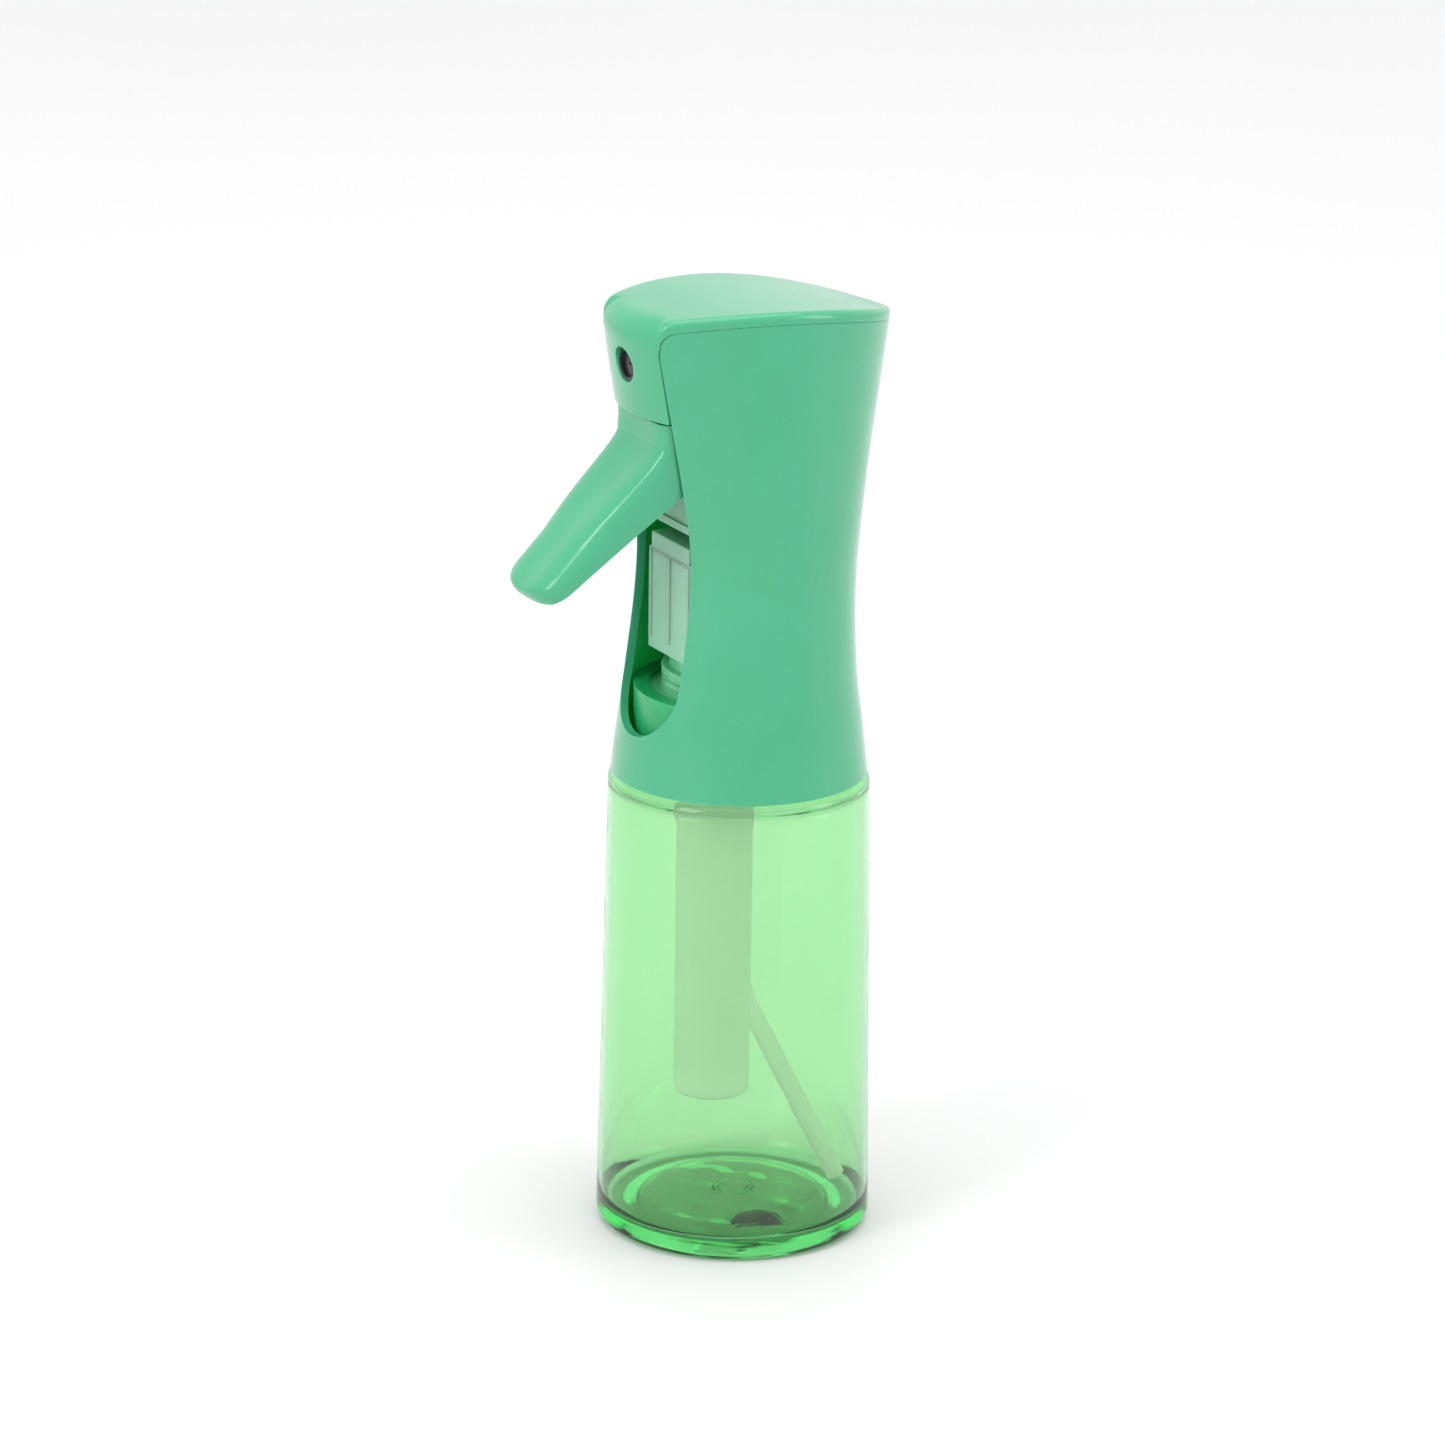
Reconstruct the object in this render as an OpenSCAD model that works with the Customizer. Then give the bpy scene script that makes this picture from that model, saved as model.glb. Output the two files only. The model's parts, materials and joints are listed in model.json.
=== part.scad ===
// Hand mister: a clear bottle under a screw-on head with a trigger pump and a spring
// accumulator. +Z is up, -Y is the way it sprays, and the origin is the centre of the
// standing ring. The head is symmetric about X = 0, apart from the dip tube's column.

/* [Bottle] */
// Height of the bottle's shoulder above the surface it stands on
bottle_h = 91; // [76:1:110]
// Outside radius of the bottle just above its heel
bottle_bottom_r = 26.5; // [25.8:0.1:30]
// Outside radius of the bottle at its shoulder
bottle_top_r = 25; // [24.8:0.1:30]
// Wall of the bottle
bottle_wall = 0.9; // [0.6:0.05:1.2]
// Thickness of the bottle's base at its middle
base_thick = 2.4; // [1.6:0.1:3.5]
// Height of the push-up under the base
base_rise = 3.4; // [2:0.1:4.5]
// Radius of the rounded heel
heel_r = 2.5; // [1.5:0.1:3.5]
// Radius of the rounded shoulder
shoulder_r = 1.8; // [1:0.1:2.5]
// Outside radius of the neck, without its thread
neck_r = 15; // [14.8:0.1:15.6]
// Wall of the neck
neck_wall = 1.6; // [1:0.1:1.7]
// Height of the neck above the shoulder
neck_h = 12.5; // [11:0.1:15]
// Advance of the thread in one turn
thread_pitch = 4; // [3.4:0.1:5]
// Height of the thread's ridge
thread_depth = 1.1; // [0.8:0.05:1.2]

/* [Head] */
// Height of the head from its lower edge to its peak
head_h = 93; // [88:1:108]
// Outside radius of the head's lower edge
head_base_r = 24.5; // [24.2:0.1:25.2]
// Half-width of the head at its waist
waist_w = 20.1; // [19.6:0.1:21]
// Half-width of the head at its top
top_w = 17.5; // [17:0.1:19]
// Reach of the head's rear corner at its top
top_rear = 32.2; // [29:0.1:35]
// Wall of the head's casing
casing_wall = 1.6; // [1.2:0.1:2]
// Width of the long front window, which is the front panel's width too
window_w = 21.6; // [21.2:0.1:23]
// Radius of the arch of the head's top, seen from the side
top_arch_r = 125; // [100:5:160]
// Thickness of the top plate at its edge
top_plate_t = 2.2; // [1.6:0.1:2.8]
// Lean of the front panel from the vertical, in degrees
panel_lean = 9.7; // [7:0.1:12]
// Radius of the front panel, seen from above
panel_r = 28; // [24:1:36]
// Thickness of the front panel
panel_t = 1.8; // [1.2:0.1:2]

/* [Trigger] */
// Width of the trigger at its root
trigger_w = 20.6; // [19.6:0.1:20.8]
// Width of the trigger at its tip
trigger_tip_w = 15.2; // [13:0.1:18]
// Wall of the trigger
trigger_wall = 1.9; // [1.5:0.1:2]
// Radius of the trigger's pin
pin_r = 1.25; // [1:0.05:1.4]
// Height of the pin above the head's lower edge
pin_h = 75.7; // [75.2:0.1:76.2]

/* [Pump] */
// Radius of the pump's bore
pump_bore_r = 5; // [4.2:0.1:5.6]
// Width of the pump's block
pump_block_w = 15.2; // [14.4:0.1:16]
// Width of the valve tower
tower_w = 16.6; // [14:0.1:17]
// Radius of the nozzle insert
nozzle_r = 3.3; // [2.8:0.1:3.5]

/* [Accumulator] */
// Outside radius of the accumulator's tube
accumulator_r = 7.3; // [6.4:0.1:7.5]
// Wall of the accumulator's tube
accumulator_wall = 1; // [0.8:0.1:1.4]
// Length of the accumulator's tube
accumulator_len = 83.5; // [70:0.5:95]
// Outside radius of the dip tube
dip_tube_r = 1.9; // [1.6:0.1:2]
// Turns of the accumulator's spring
accumulator_turns = 13; // [9:1:14]

/* [Hidden] */
$fn = 64;

run = 0.05;        // radial clearance of a running fit
gap = 0.15;        // gap at a seam between two mouldings
eps = 0.01;        // overlap of a cut with the face it cuts
mint = [0.33, 0.80, 0.62];
natural = [0.80, 0.90, 0.84, 0.75];
clear_green = [0.45, 0.85, 0.50, 0.45];
steel = [0.70, 0.71, 0.72];
dark = [0.10, 0.10, 0.10];

// Levels that the pieces share
neck_top_z = bottle_h + neck_h;
gasket_t = 1;
flange_z = neck_top_z + gasket_t;      // underside of the valve tower's flange
flange_t = 3;
flange_r = neck_r + 2.9;
head_z = bottle_h + 0.4;               // lower edge of the casing
peak_z = head_z + head_h;
window_half = window_w / 2;
window_low_z = head_z + 9.5;
pin_y = -13;
pin_z = head_z + pin_h;
pump_z = pin_z - 11.5;                 // axis of the pump's bore
nozzle_z = pin_z + 6.1;                // axis of the nozzle
panel_low_z = nozzle_z - 9.5;
panel_y = -25.3;                       // front of the panel on the nozzle's axis
tower_top_z = pump_z - 17.5;
tower_front_y = -15.5;
tower_rear_y = 16.2;
block_low_z = tower_top_z + 3;
block_top_z = pump_z + 6.7;
block_rear_y = 10;
link_y = 6;                            // column between tower and cylinder
outlet_y = 13;                         // column of the outlet valve and the riser
inlet_x = -7;
inlet_y = 4;
accumulator_y = -5;

// ---- curves -------------------------------------------------------------------------

function arc(cx, cy, r, a0, a1, n) = [for (i = [0:n]) let (a = a0 + (a1 - a0) * i / n)
    [cx + r * cos(a), cy + r * sin(a)]];

// A helical ridge of trapezoid section around Z: root radius, crest radius, width at the
// root, start height, pitch and turns. The ends taper into the root. A crest inside the
// root makes the ridge of a nut, whose section is turned round so that it faces outwards.
module helical_ridge(root, crest, width, z0, pitch, turns, steps = 24) {
    n = ceil(turns * steps);
    way = crest > root ? 1 : -1;
    points = [for (i = [0:n]) let (a = 360 * turns * i / n, z = z0 + pitch * turns * i / n,
        taper = min(1, min(i, n - i) / 5), tip = root + (crest - root) * (0.1 + 0.9 * taper))
        for (q = [[root, -width / 2], [tip, -width / 5], [tip, width / 5], [root, width / 2]])
            [q[0] * cos(a), q[0] * sin(a), z + way * q[1]]];
    sides = [for (i = [0:n - 1], k = [0:3]) let (b = 4 * i, m = (k + 1) % 4)
        [b + k, b + m, b + 4 + m, b + 4 + k]];
    polyhedron(points, concat([[3, 2, 1, 0]], sides, [[4 * n, 4 * n + 1, 4 * n + 2, 4 * n + 3]]),
        convexity = 6);
}

// A helical spring of round wire along Z, from z = 0 to z = length over its wire's centres.
module coil_spring(mean_r, wire_r, length, turns, steps = 16, around = 6) {
    n = turns * steps;
    rise = length - 2 * wire_r;
    points = [for (i = [0:n]) let (a = 360 * turns * i / n)
        for (k = [0:around - 1]) let (b = 360 * k / around, r = mean_r + wire_r * cos(b))
            [r * cos(a), r * sin(a), wire_r + rise * i / n + wire_r * sin(b)]];
    sides = [for (i = [0:n - 1], k = [0:around - 1]) let (b = around * i, m = (k + 1) % around)
        [b + k, b + around + k, b + around + m, b + m]];
    polyhedron(points, concat([[for (k = [0:around - 1]) k]], sides,
        [[for (k = [around - 1:-1:0]) around * n + k]]), convexity = 10);
}

// A cylinder along Y from y0 to y1.
module along_y(y0, y1, r, z = 0, x = 0) {
    translate([x, y0, z]) rotate([-90, 0, 0]) cylinder(h = y1 - y0, r = r);
}

// A cylinder along X, centred on X = 0.
module across(y, z, r, w) {
    translate([-w / 2, y, z]) rotate([0, 90, 0]) cylinder(h = w, r = r);
}

// A ring or tube along Z.
module tube(z0, z1, outer, inner) {
    translate([0, 0, z0]) difference() {
        cylinder(h = z1 - z0, r = outer);
        translate([0, 0, -1]) cylinder(h = z1 - z0 + 2, r = inner);
    }
}

// ---- shape of the head ----------------------------------------------------------------

// Each station: height as a share of the head, half-width, rear reach, and reach of the
// window's edges in front. The lower stations are circles, the top is a teardrop.
function edge_reach(r) = sqrt(r * r - window_half * window_half);
stations = [
    [0, head_base_r, head_base_r, edge_reach(head_base_r)],
    [0.10, head_base_r - 1.1, head_base_r - 1.1, edge_reach(head_base_r - 1.1)],
    [0.22, waist_w + 1.8, waist_w + 2.1, edge_reach(waist_w + 1.8)],
    [0.38, waist_w + 0.2, waist_w + 2.6, edge_reach(waist_w + 0.2)],
    [0.50, waist_w - 0.1, top_rear - 8.2, edge_reach(waist_w) - 0.05],
    [0.66, waist_w - 0.7, top_rear - 5.5, 19.2],
    [0.85, top_w + 0.8, top_rear - 2.1, 22.75],
    [1.00, top_w, top_rear, 25.4],
    [1.04, top_w - 0.2, top_rear + 0.6, 26.1]];

// Catmull-Rom curve through column c of the stations at height share s.
function segment_of(s, i = 0) = i >= len(stations) - 2 || s <= stations[i + 1][0] ? i : segment_of(s, i + 1);
function slope(i, c) = let (a = stations[max(i - 1, 0)], b = stations[min(i + 1, len(stations) - 1)])
    (b[c] - a[c]) / (b[0] - a[0]);
function along(s, c) = let (i = segment_of(s), a = stations[i], b = stations[i + 1], h = b[0] - a[0],
    t = (s - a[0]) / h)
    a[c] * (1 + 2 * t) * (1 - t) * (1 - t) + slope(i, c) * h * t * (1 - t) * (1 - t)
    + b[c] * t * t * (3 - 2 * t) + slope(i + 1, c) * h * t * t * (t - 1);

// Radius of a side arc that is w wide at Y = 0 and x wide at reach y.
function arc_r(w, x, y) = (y * y + (w - x) * (w - x)) / (2 * (w - x));

// One closed ring of the casing at height share s, moved in by t.
quarter = 9;
function side_arc(w, r, t, sign) = let (last = acos((r - w) / (r - t)))
    [for (i = [0:quarter]) let (a = last * i / quarter) [w - r + (r - t) * cos(a), sign * (r - t) * sin(a)]];
function ring(s, t) = let (w = along(s, 1), rear = side_arc(w, arc_r(w, 0, along(s, 2)), t, 1),
    front = side_arc(w, arc_r(w, window_half, along(s, 3)), t, -1),
    right = concat([for (i = [quarter:-1:1]) front[i]], rear))
    [for (i = [0:4 * quarter - 1]) i <= 2 * quarter ? [right[i][0], right[i][1], head_z + head_h * s]
        : [-right[4 * quarter - i][0], right[4 * quarter - i][1], head_z + head_h * s]];

// A solid through the rings at the height shares in levels.
module head_solid(levels, t = 0) {
    m = 4 * quarter;
    n = len(levels);
    polyhedron([for (s = levels) each ring(s, t)], concat([[for (k = [0:m - 1]) k]],
        [for (i = [0:n - 2], k = [0:m - 1]) let (j = (k + 1) % m)
            [m * i + k, m * (i + 1) + k, m * (i + 1) + j, m * i + j]],
        [[for (k = [m - 1:-1:0]) m * (n - 1) + k]]), convexity = 4);
}

// Everything under the head's arched top, moved down by d.
module under_arch(d) {
    across(-8, peak_z - top_arch_r, top_arch_r - d, 80);
}

// The body of the front panel's leaning round face, moved in by d.
module behind_panel(d) {
    translate([0, panel_y + panel_r, nozzle_z]) rotate([panel_lean, 0, 0])
        translate([0, 0, -40]) cylinder(h = 80, r = panel_r - d, $fn = 128);
    translate([-40, -8, nozzle_z - 40]) cube([80, 60, 80]);
}

// The long window: straight sides and a round lower end.
module window_cut(half, front = 60) {
    across_z = window_low_z + window_half;
    translate([0, -front, across_z]) rotate([-90, 0, 0]) cylinder(h = front, r = half);
    translate([-half, -front, across_z]) cube([2 * half, front, peak_z - across_z + 10]);
}

// ---- bottle ---------------------------------------------------------------------------

inner_bottom_r = bottle_bottom_r - bottle_wall;
inner_top_r = bottle_top_r - bottle_wall;
inner_corner_r = 3;
shoulder_rise = 1;

module bottle() {
    foot_r = bottle_bottom_r - heel_r;
    ring_in = foot_r - 3.2;
    floor_z = base_rise + base_thick;
    edge_z = base_thick + 0.6;
    outer = concat([[0, base_rise]], arc(ring_in - 4, base_rise - 0.8, 0.8, 90, 60, 3), [[ring_in, 0]],
        arc(foot_r, heel_r, heel_r, -90, 0, 8), arc(bottle_top_r - shoulder_r, bottle_h - shoulder_r,
        shoulder_r, 0, 90, 8), [[neck_r + 1.5, bottle_h + shoulder_rise - 0.8]],
        [[neck_r, bottle_h + shoulder_rise], [neck_r, neck_top_z]]);
    inner = concat([[neck_r - neck_wall, neck_top_z], [neck_r - neck_wall, bottle_h]],
        arc(inner_top_r - shoulder_r, bottle_h - shoulder_r - bottle_wall, shoulder_r, 90, 0, 8),
        arc(inner_bottom_r - inner_corner_r, edge_z + inner_corner_r, inner_corner_r, 0, -90, 8),
        [[0, floor_z]]);
    color(clear_green) difference() {
        union() {
            rotate_extrude($fn = 96) polygon(concat(outer, inner));
            helical_ridge(neck_r - 0.05, neck_r + thread_depth, 1.3, neck_top_z - 8, thread_pitch, 1.4);
        }
        notch();
    }
}

// The D-shaped mould notch under the base, near the heel.
module notch() {
    notch_depth = 1.6;
    translate([17.5, -9, -eps]) rotate([0, 0, -28]) difference() {
        cylinder(h = notch_depth, r = 4.2);
        translate([0, -10, -1]) cube([10, 20, notch_depth + 2]);
    }
}

// ---- closure --------------------------------------------------------------------------

closure_root_r = neck_r + thread_depth + 0.5;
closure_outer_r = neck_r + 5.3;
closure_low_z = bottle_h + 2.2;

module neck_gasket() {
    color([0.9, 0.9, 0.88]) tube(neck_top_z, flange_z, neck_r + 0.6, neck_r - neck_wall - 0.4);
}

module closure_ring() {
    skirt_s = (closure_low_z + 1 - head_z) / head_h;
    skirt_r = along(skirt_s, 1) - casing_wall - gap;
    bead_z = flange_z + flange_t;
    color(mint) {
        rotate_extrude() polygon([[closure_root_r, closure_low_z], [skirt_r - 0.4, closure_low_z],
            [skirt_r, closure_low_z + 1], [skirt_r - 0.3, closure_low_z + 2.4],
            [closure_outer_r, closure_low_z + 2.8], [closure_outer_r, bead_z + 0.7],
            [flange_r - 0.6, bead_z + 0.7], [flange_r - 0.6, bead_z + 0.1], [flange_r + 0.1, bead_z],
            [flange_r + 0.1, neck_top_z], [closure_root_r, neck_top_z]]);
        helical_ridge(closure_root_r + 0.05, closure_root_r - thread_depth, 1.3,
            neck_top_z - 9, thread_pitch, 1.4);
    }
}

// ---- casing ---------------------------------------------------------------------------

casing_levels = [0, 0.05, 0.10, 0.16, 0.22, 0.28, 0.34, 0.40, 0.46, 0.52, 0.58, 0.66, 0.75, 0.85, 1.0];

module shroud() {
    m = 4 * quarter;
    n = len(casing_levels);
    outer = [for (s = casing_levels) each ring(s, 0)];
    inner = [for (i = [n - 1:-1:0]) each ring(casing_levels[i], casing_wall)];
    // The loops of rings run up the outside and down the inside, so they close on themselves.
    color(mint) difference() {
        polyhedron(concat(outer, inner), [for (i = [0:2 * n - 1], k = [0:m - 1])
            let (j = (k + 1) % m, up = (i + 1) % (2 * n)) [m * i + k, m * up + k, m * up + j, m * i + j]],
            convexity = 8);
        window_cut(window_half);
        difference() {
            translate([-40, -60, head_z + 60]) cube([80, 120, 60]);
            under_arch(top_plate_t + gap);
        }
    }
}

cover_levels = [0.7, 0.76, 0.82, 0.88, 0.94, 1.0, 1.04];

module front_cover() {
    color(mint) difference() {
        intersection() {
            head_solid(cover_levels);
            under_arch(0);
            behind_panel(0);
        }
        // The hollow under the top plate, to each side of the panel and behind it
        intersection() {
            under_arch(top_plate_t);
            union() {
                behind_panel(panel_t);
                translate([window_half - gap, -60, 0]) cube([60, 120, peak_z]);
                mirror([1, 0, 0]) translate([window_half - gap, -60, 0]) cube([60, 120, peak_z]);
                translate([-60, -60, 0]) cube([120, 120, panel_low_z]);
            }
        }
        along_y(-40, -15, nozzle_r + 0.2, nozzle_z);
    }
}

// ---- trigger --------------------------------------------------------------------------

ear_r = 3.6;
trigger_top_z = panel_low_z - 0.5;
tip_y = -44.9;
tip_z = trigger_top_z - 29.9;
tip_r = 2.2;
neck_y = -22.2;
neck_z = trigger_top_z - 5.6;
pad_y = -21.8;

module trigger_profile() {
    polygon(concat([[neck_y + 0.3, trigger_top_z], [neck_y, neck_z + 2], [neck_y - 1.3, neck_z - 1.2]],
        arc(tip_y, tip_z, tip_r, 138, 308, 10),
        [[-17.8, neck_z - 8], [-12, neck_z - 3], [pin_y + ear_r, pin_z]],
        arc(pin_y, pin_z, ear_r, 0, 180, 9), [[pin_y - ear_r, trigger_top_z]]));
}

module trigger_hollow() {
    w = trigger_wall;
    polygon([[neck_y + w, pin_z + 20], [neck_y + w, neck_z + 4.5], [neck_y + w - 1.5, neck_z - 2],
        [tip_y + w + 0.6, tip_z + 1.4], [tip_y + w + 1.6, tip_z - 10], [20, neck_z - 20], [20, pin_z + 20]]);
}

// The front view of the trigger: parallel at its root, narrower towards its tip.
module trigger_front(inset) {
    root = trigger_w / 2 - inset;
    tip = trigger_tip_w / 2 - inset;
    rotate([90, 0, 0]) translate([0, 0, -20]) linear_extrude(80) polygon([[-root, pin_z + 20],
        [root, pin_z + 20], [root, neck_z - 9], [tip, tip_z - 6], [-tip, tip_z - 6], [-root, neck_z - 9]]);
}

// Turns a drawing in Y and Z into a solid that is w wide along X.
module plate(w) {
    rotate([90, 0, 90]) translate([0, 0, -w / 2]) linear_extrude(w) children();
}

module trigger() {
    pad_w = 6;
    color(mint) difference() {
        union() {
            difference() {
                intersection() {
                    plate(60) trigger_profile();
                    trigger_front(0);
                }
                intersection() {
                    plate(60) trigger_hollow();
                    trigger_front(trigger_wall);
                }
            }
            plate(pad_w) polygon([[pad_y, pump_z + 1.8], [neck_y - 0.4, neck_z + 1],
                [pad_y - 3.8, pump_z - 3.5], [pad_y, pump_z - 3.5]]);
        }
        across(pin_y, pin_z, pin_r + run, 40);
    }
}

module trigger_pin() {
    color(steel) across(pin_y, pin_z, pin_r, trigger_w + 0.2);
}

// ---- pump -----------------------------------------------------------------------------

bore_end_y = 7.5;
link_r = 2.5;
link_bore_r = 1.3;
riser_r = 2.4;
riser_bore_r = 1.3;

module pump_cylinder() {
    lug_y = pin_y - 2.6;
    color(natural) difference() {
        union() {
            translate([-pump_block_w / 2, tower_front_y, block_low_z])
                cube([pump_block_w, block_rear_y - tower_front_y, block_top_z - block_low_z]);
            translate([-pump_block_w / 2, lug_y, block_top_z - eps])
                cube([pump_block_w, 5.4, pin_z + 2 - block_top_z]);
            // The lower rim that faces the tower
            translate([-pump_block_w / 2 - 0.3, tower_front_y - 0.4, block_low_z])
                cube([pump_block_w + 0.6, 4, 1.4]);
        }
        along_y(tower_front_y - 1, bore_end_y, pump_bore_r, pump_z);
        translate([0, link_y, block_low_z - 1]) cylinder(h = 5, r = link_r);
        translate([0, link_y, block_low_z]) cylinder(h = pump_z - block_low_z, r = link_bore_r);
        across(pin_y, pin_z, pin_r, 40);
    }
}

module link_tube() {
    color(natural) translate([0, link_y, 0])
        tube(tower_top_z - 5, block_low_z + 4, link_r, link_bore_r);
}

// The steps of the tower above its flange: radius and height of each.
tower_steps = [[neck_r, 4.5], [neck_r - 1.5, 5]];
collar_z = flange_z + flange_t;
block_z = collar_z + tower_steps[0][1] + tower_steps[1][1];

// A straight passage of radius r between two points on a level, or between two levels.
module passage(a, b, r) {
    d = b - a;
    translate(a) rotate([0, acos(d[2] / norm(d)), atan2(d[1], d[0])]) cylinder(h = norm(d), r = r);
}

inlet_r = 3.1;
inlet_throat_r = 1.5;
inlet_seat_z = flange_z + 5;
inlet_stop_z = inlet_seat_z + 5.4;
outlet_seat_z = block_z + 8;
outlet_chamber_r = 2.4;
riser_low_z = outlet_seat_z + 5;

module valve_tower() {
    cross_z = inlet_stop_z + 1.6;
    feed_z = outlet_seat_z + 2.5;
    feed_x = 5;
    shoulder_in = 0.9;
    cross_r = 1.1;
    feed_r = 0.9;
    color(natural) difference() {
        union() {
            translate([0, 0, flange_z]) cylinder(h = flange_t, r = flange_r);
            translate([0, 0, collar_z - eps]) cylinder(h = tower_steps[0][1], r = tower_steps[0][0]);
            translate([0, 0, collar_z]) cylinder(h = block_z - collar_z, r = tower_steps[1][0]);
            translate([-tower_w / 2, tower_front_y, block_z - 0.5])
                cube([tower_w, tower_rear_y - tower_front_y, tower_top_z - block_z + 0.5]);
        }
        // The shoulders that narrow the block under its top
        for (side = [0, 1]) mirror([side, 0, 0])
            translate([tower_w / 2 - shoulder_in, tower_front_y - 1, tower_top_z - 3])
                cube([shoulder_in + 1, tower_rear_y - tower_front_y + 2, 4]);
        translate([0, accumulator_y, flange_z - 1]) cylinder(h = 6.5, r = accumulator_r);
        translate([inlet_x, inlet_y, flange_z - 1]) cylinder(h = inlet_stop_z - flange_z + 1, r = inlet_r);
        passage([inlet_x, inlet_y, inlet_stop_z - 1], [inlet_x, inlet_y, cross_z + 1.9], inlet_throat_r);
        passage([inlet_x, inlet_y, cross_z], [0, link_y, cross_z], cross_r);
        passage([0, link_y, cross_z - 2], [0, link_y, tower_top_z + 1], link_bore_r);
        passage([0, link_y, tower_top_z - 5], [0, link_y, tower_top_z + 1], link_r);
        passage([0, link_y, outlet_seat_z - 3], [0, outlet_y, outlet_seat_z - 3], cross_r);
        passage([0, outlet_y, outlet_seat_z - 4.5], [0, outlet_y, outlet_seat_z + 1], seat_hole_r);
        passage([0, outlet_y, outlet_seat_z], [0, outlet_y, tower_top_z + 1], outlet_chamber_r);
        // The passage that charges the accumulator: across, forward, then down into its bore
        passage([0, outlet_y, feed_z], [feed_x, outlet_y, feed_z], feed_r);
        passage([feed_x, outlet_y + 1.6, feed_z], [feed_x, accumulator_y - 1.6, feed_z], feed_r + 0.15);
        passage([feed_x, accumulator_y, flange_z + 4], [feed_x, accumulator_y, feed_z], feed_r);
        translate([vent_x, vent_y, flange_z - 1]) cylinder(h = block_z - flange_z + 2, r = vent_r);
    }
}

module inlet_seat() {
    color(natural) translate([inlet_x, inlet_y, 0]) difference() {
        translate([0, 0, flange_z]) cylinder(h = inlet_seat_z - flange_z, r = inlet_r);
        translate([0, 0, flange_z - 1]) cylinder(h = inlet_seat_z - flange_z - 1, r = dip_tube_r);
        translate([0, 0, flange_z]) cylinder(h = inlet_seat_z - flange_z + 1, r = seat_hole_r);
    }
}

seat_hole_r = 1.2;
inlet_ball_r = 2.3;
outlet_ball_r = 2;
seat_gap = 0.03;

// Height of a resting ball's centre above its seat's edge
function rest_h(ball, hole) = sqrt(ball * ball - hole * hole) + seat_gap;

module inlet_ball() {
    color(steel) translate([inlet_x, inlet_y, inlet_seat_z + rest_h(inlet_ball_r, seat_hole_r)])
        sphere(r = inlet_ball_r);
}

module outlet_ball() {
    color(steel) translate([0, outlet_y, outlet_seat_z + rest_h(outlet_ball_r, seat_hole_r)])
        sphere(r = outlet_ball_r);
}

// The riser: up from the tower, round a bend and forward to the nozzle holder.
bend_r = 5;
holder_rear_y = -4;

module delivery_tube() {
    bend_y = outlet_y - bend_r;
    color(natural) {
        translate([0, outlet_y, 0]) tube(riser_low_z, nozzle_z - bend_r, riser_r, riser_bore_r);
        translate([0, bend_y, nozzle_z - bend_r]) rotate([90, 0, 90]) rotate_extrude(angle = 90)
            translate([bend_r, 0]) difference() {
                circle(r = riser_r);
                circle(r = riser_bore_r);
            }
        difference() {
            along_y(holder_rear_y - 3, bend_y, riser_r, nozzle_z);
            along_y(holder_rear_y - 4, bend_y + 1, riser_bore_r, nozzle_z);
        }
    }
}

holder_r = 3.9;
holder_front_y = -21.9;
insert_front_y = panel_y + 0.4;
insert_rear_y = holder_front_y + 2;

module nozzle_holder() {
    color(natural) difference() {
        along_y(holder_front_y, holder_rear_y, holder_r, nozzle_z);
        along_y(holder_front_y - 1, holder_front_y + 6, nozzle_r, nozzle_z);
        along_y(holder_front_y, holder_rear_y + 1, riser_bore_r, nozzle_z);
        along_y(holder_rear_y - 3, holder_rear_y + 1, riser_r, nozzle_z);
    }
}

module nozzle_insert() {
    color(dark) difference() {
        along_y(insert_front_y, insert_rear_y, nozzle_r, nozzle_z);
        along_y(insert_front_y - 1, insert_front_y + 0.6, nozzle_r - 0.7, nozzle_z);
        along_y(insert_front_y, insert_rear_y + 1, 0.3, nozzle_z);
        along_y(insert_rear_y - 1.5, insert_rear_y + 1, 1.6, nozzle_z);
    }
}

module swirl_core() {
    color(natural) difference() {
        union() {
            along_y(insert_rear_y - 1.4, insert_rear_y, 1.5, nozzle_z);
            along_y(insert_rear_y, insert_rear_y + 2, nozzle_r - 0.1, nozzle_z);
        }
        for (side = [-1, 1]) along_y(insert_rear_y - 2, insert_rear_y + 3, 0.5, nozzle_z, 2.2 * side);
    }
}

module nozzle_seal() {
    color(dark) translate([0, insert_rear_y + 3, nozzle_z]) rotate([90, 0, 0])
        rotate_extrude() translate([nozzle_r - 0.8, 0]) circle(r = 0.75);
}

piston_front_y = -9;
piston_rear_y = -3.4;
rod_r = 2.5;
push_gap = 0.45;
rod_end_y = pad_y + rod_r + push_gap;
seal_groove_r = 3.9;

module piston() {
    seal_y = (piston_front_y + piston_rear_y) / 2;
    color([0.92, 0.93, 0.90]) difference() {
        union() {
            translate([0, rod_end_y, pump_z]) sphere(r = rod_r);
            along_y(rod_end_y, piston_front_y + eps, rod_r, pump_z);
            along_y(piston_front_y, piston_rear_y, pump_bore_r - run, pump_z);
        }
        difference() {
            along_y(seal_y - 0.9, seal_y + 0.9, pump_bore_r + 1, pump_z);
            along_y(seal_y - 1, seal_y + 1, seal_groove_r, pump_z);
        }
    }
}

module piston_seal() {
    color(dark) difference() {
        along_y((piston_front_y + piston_rear_y) / 2 - 0.9, (piston_front_y + piston_rear_y) / 2 + 0.9,
            pump_bore_r - 0.02, pump_z);
        along_y(piston_front_y, piston_rear_y, seal_groove_r, pump_z);
    }
}

module return_spring() {
    color(steel) translate([0, piston_rear_y, pump_z]) rotate([-90, 0, 0])
        coil_spring(pump_bore_r - 1.2, 0.4, bore_end_y - piston_rear_y, 5);
}

// ---- accumulator ----------------------------------------------------------------------

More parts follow.
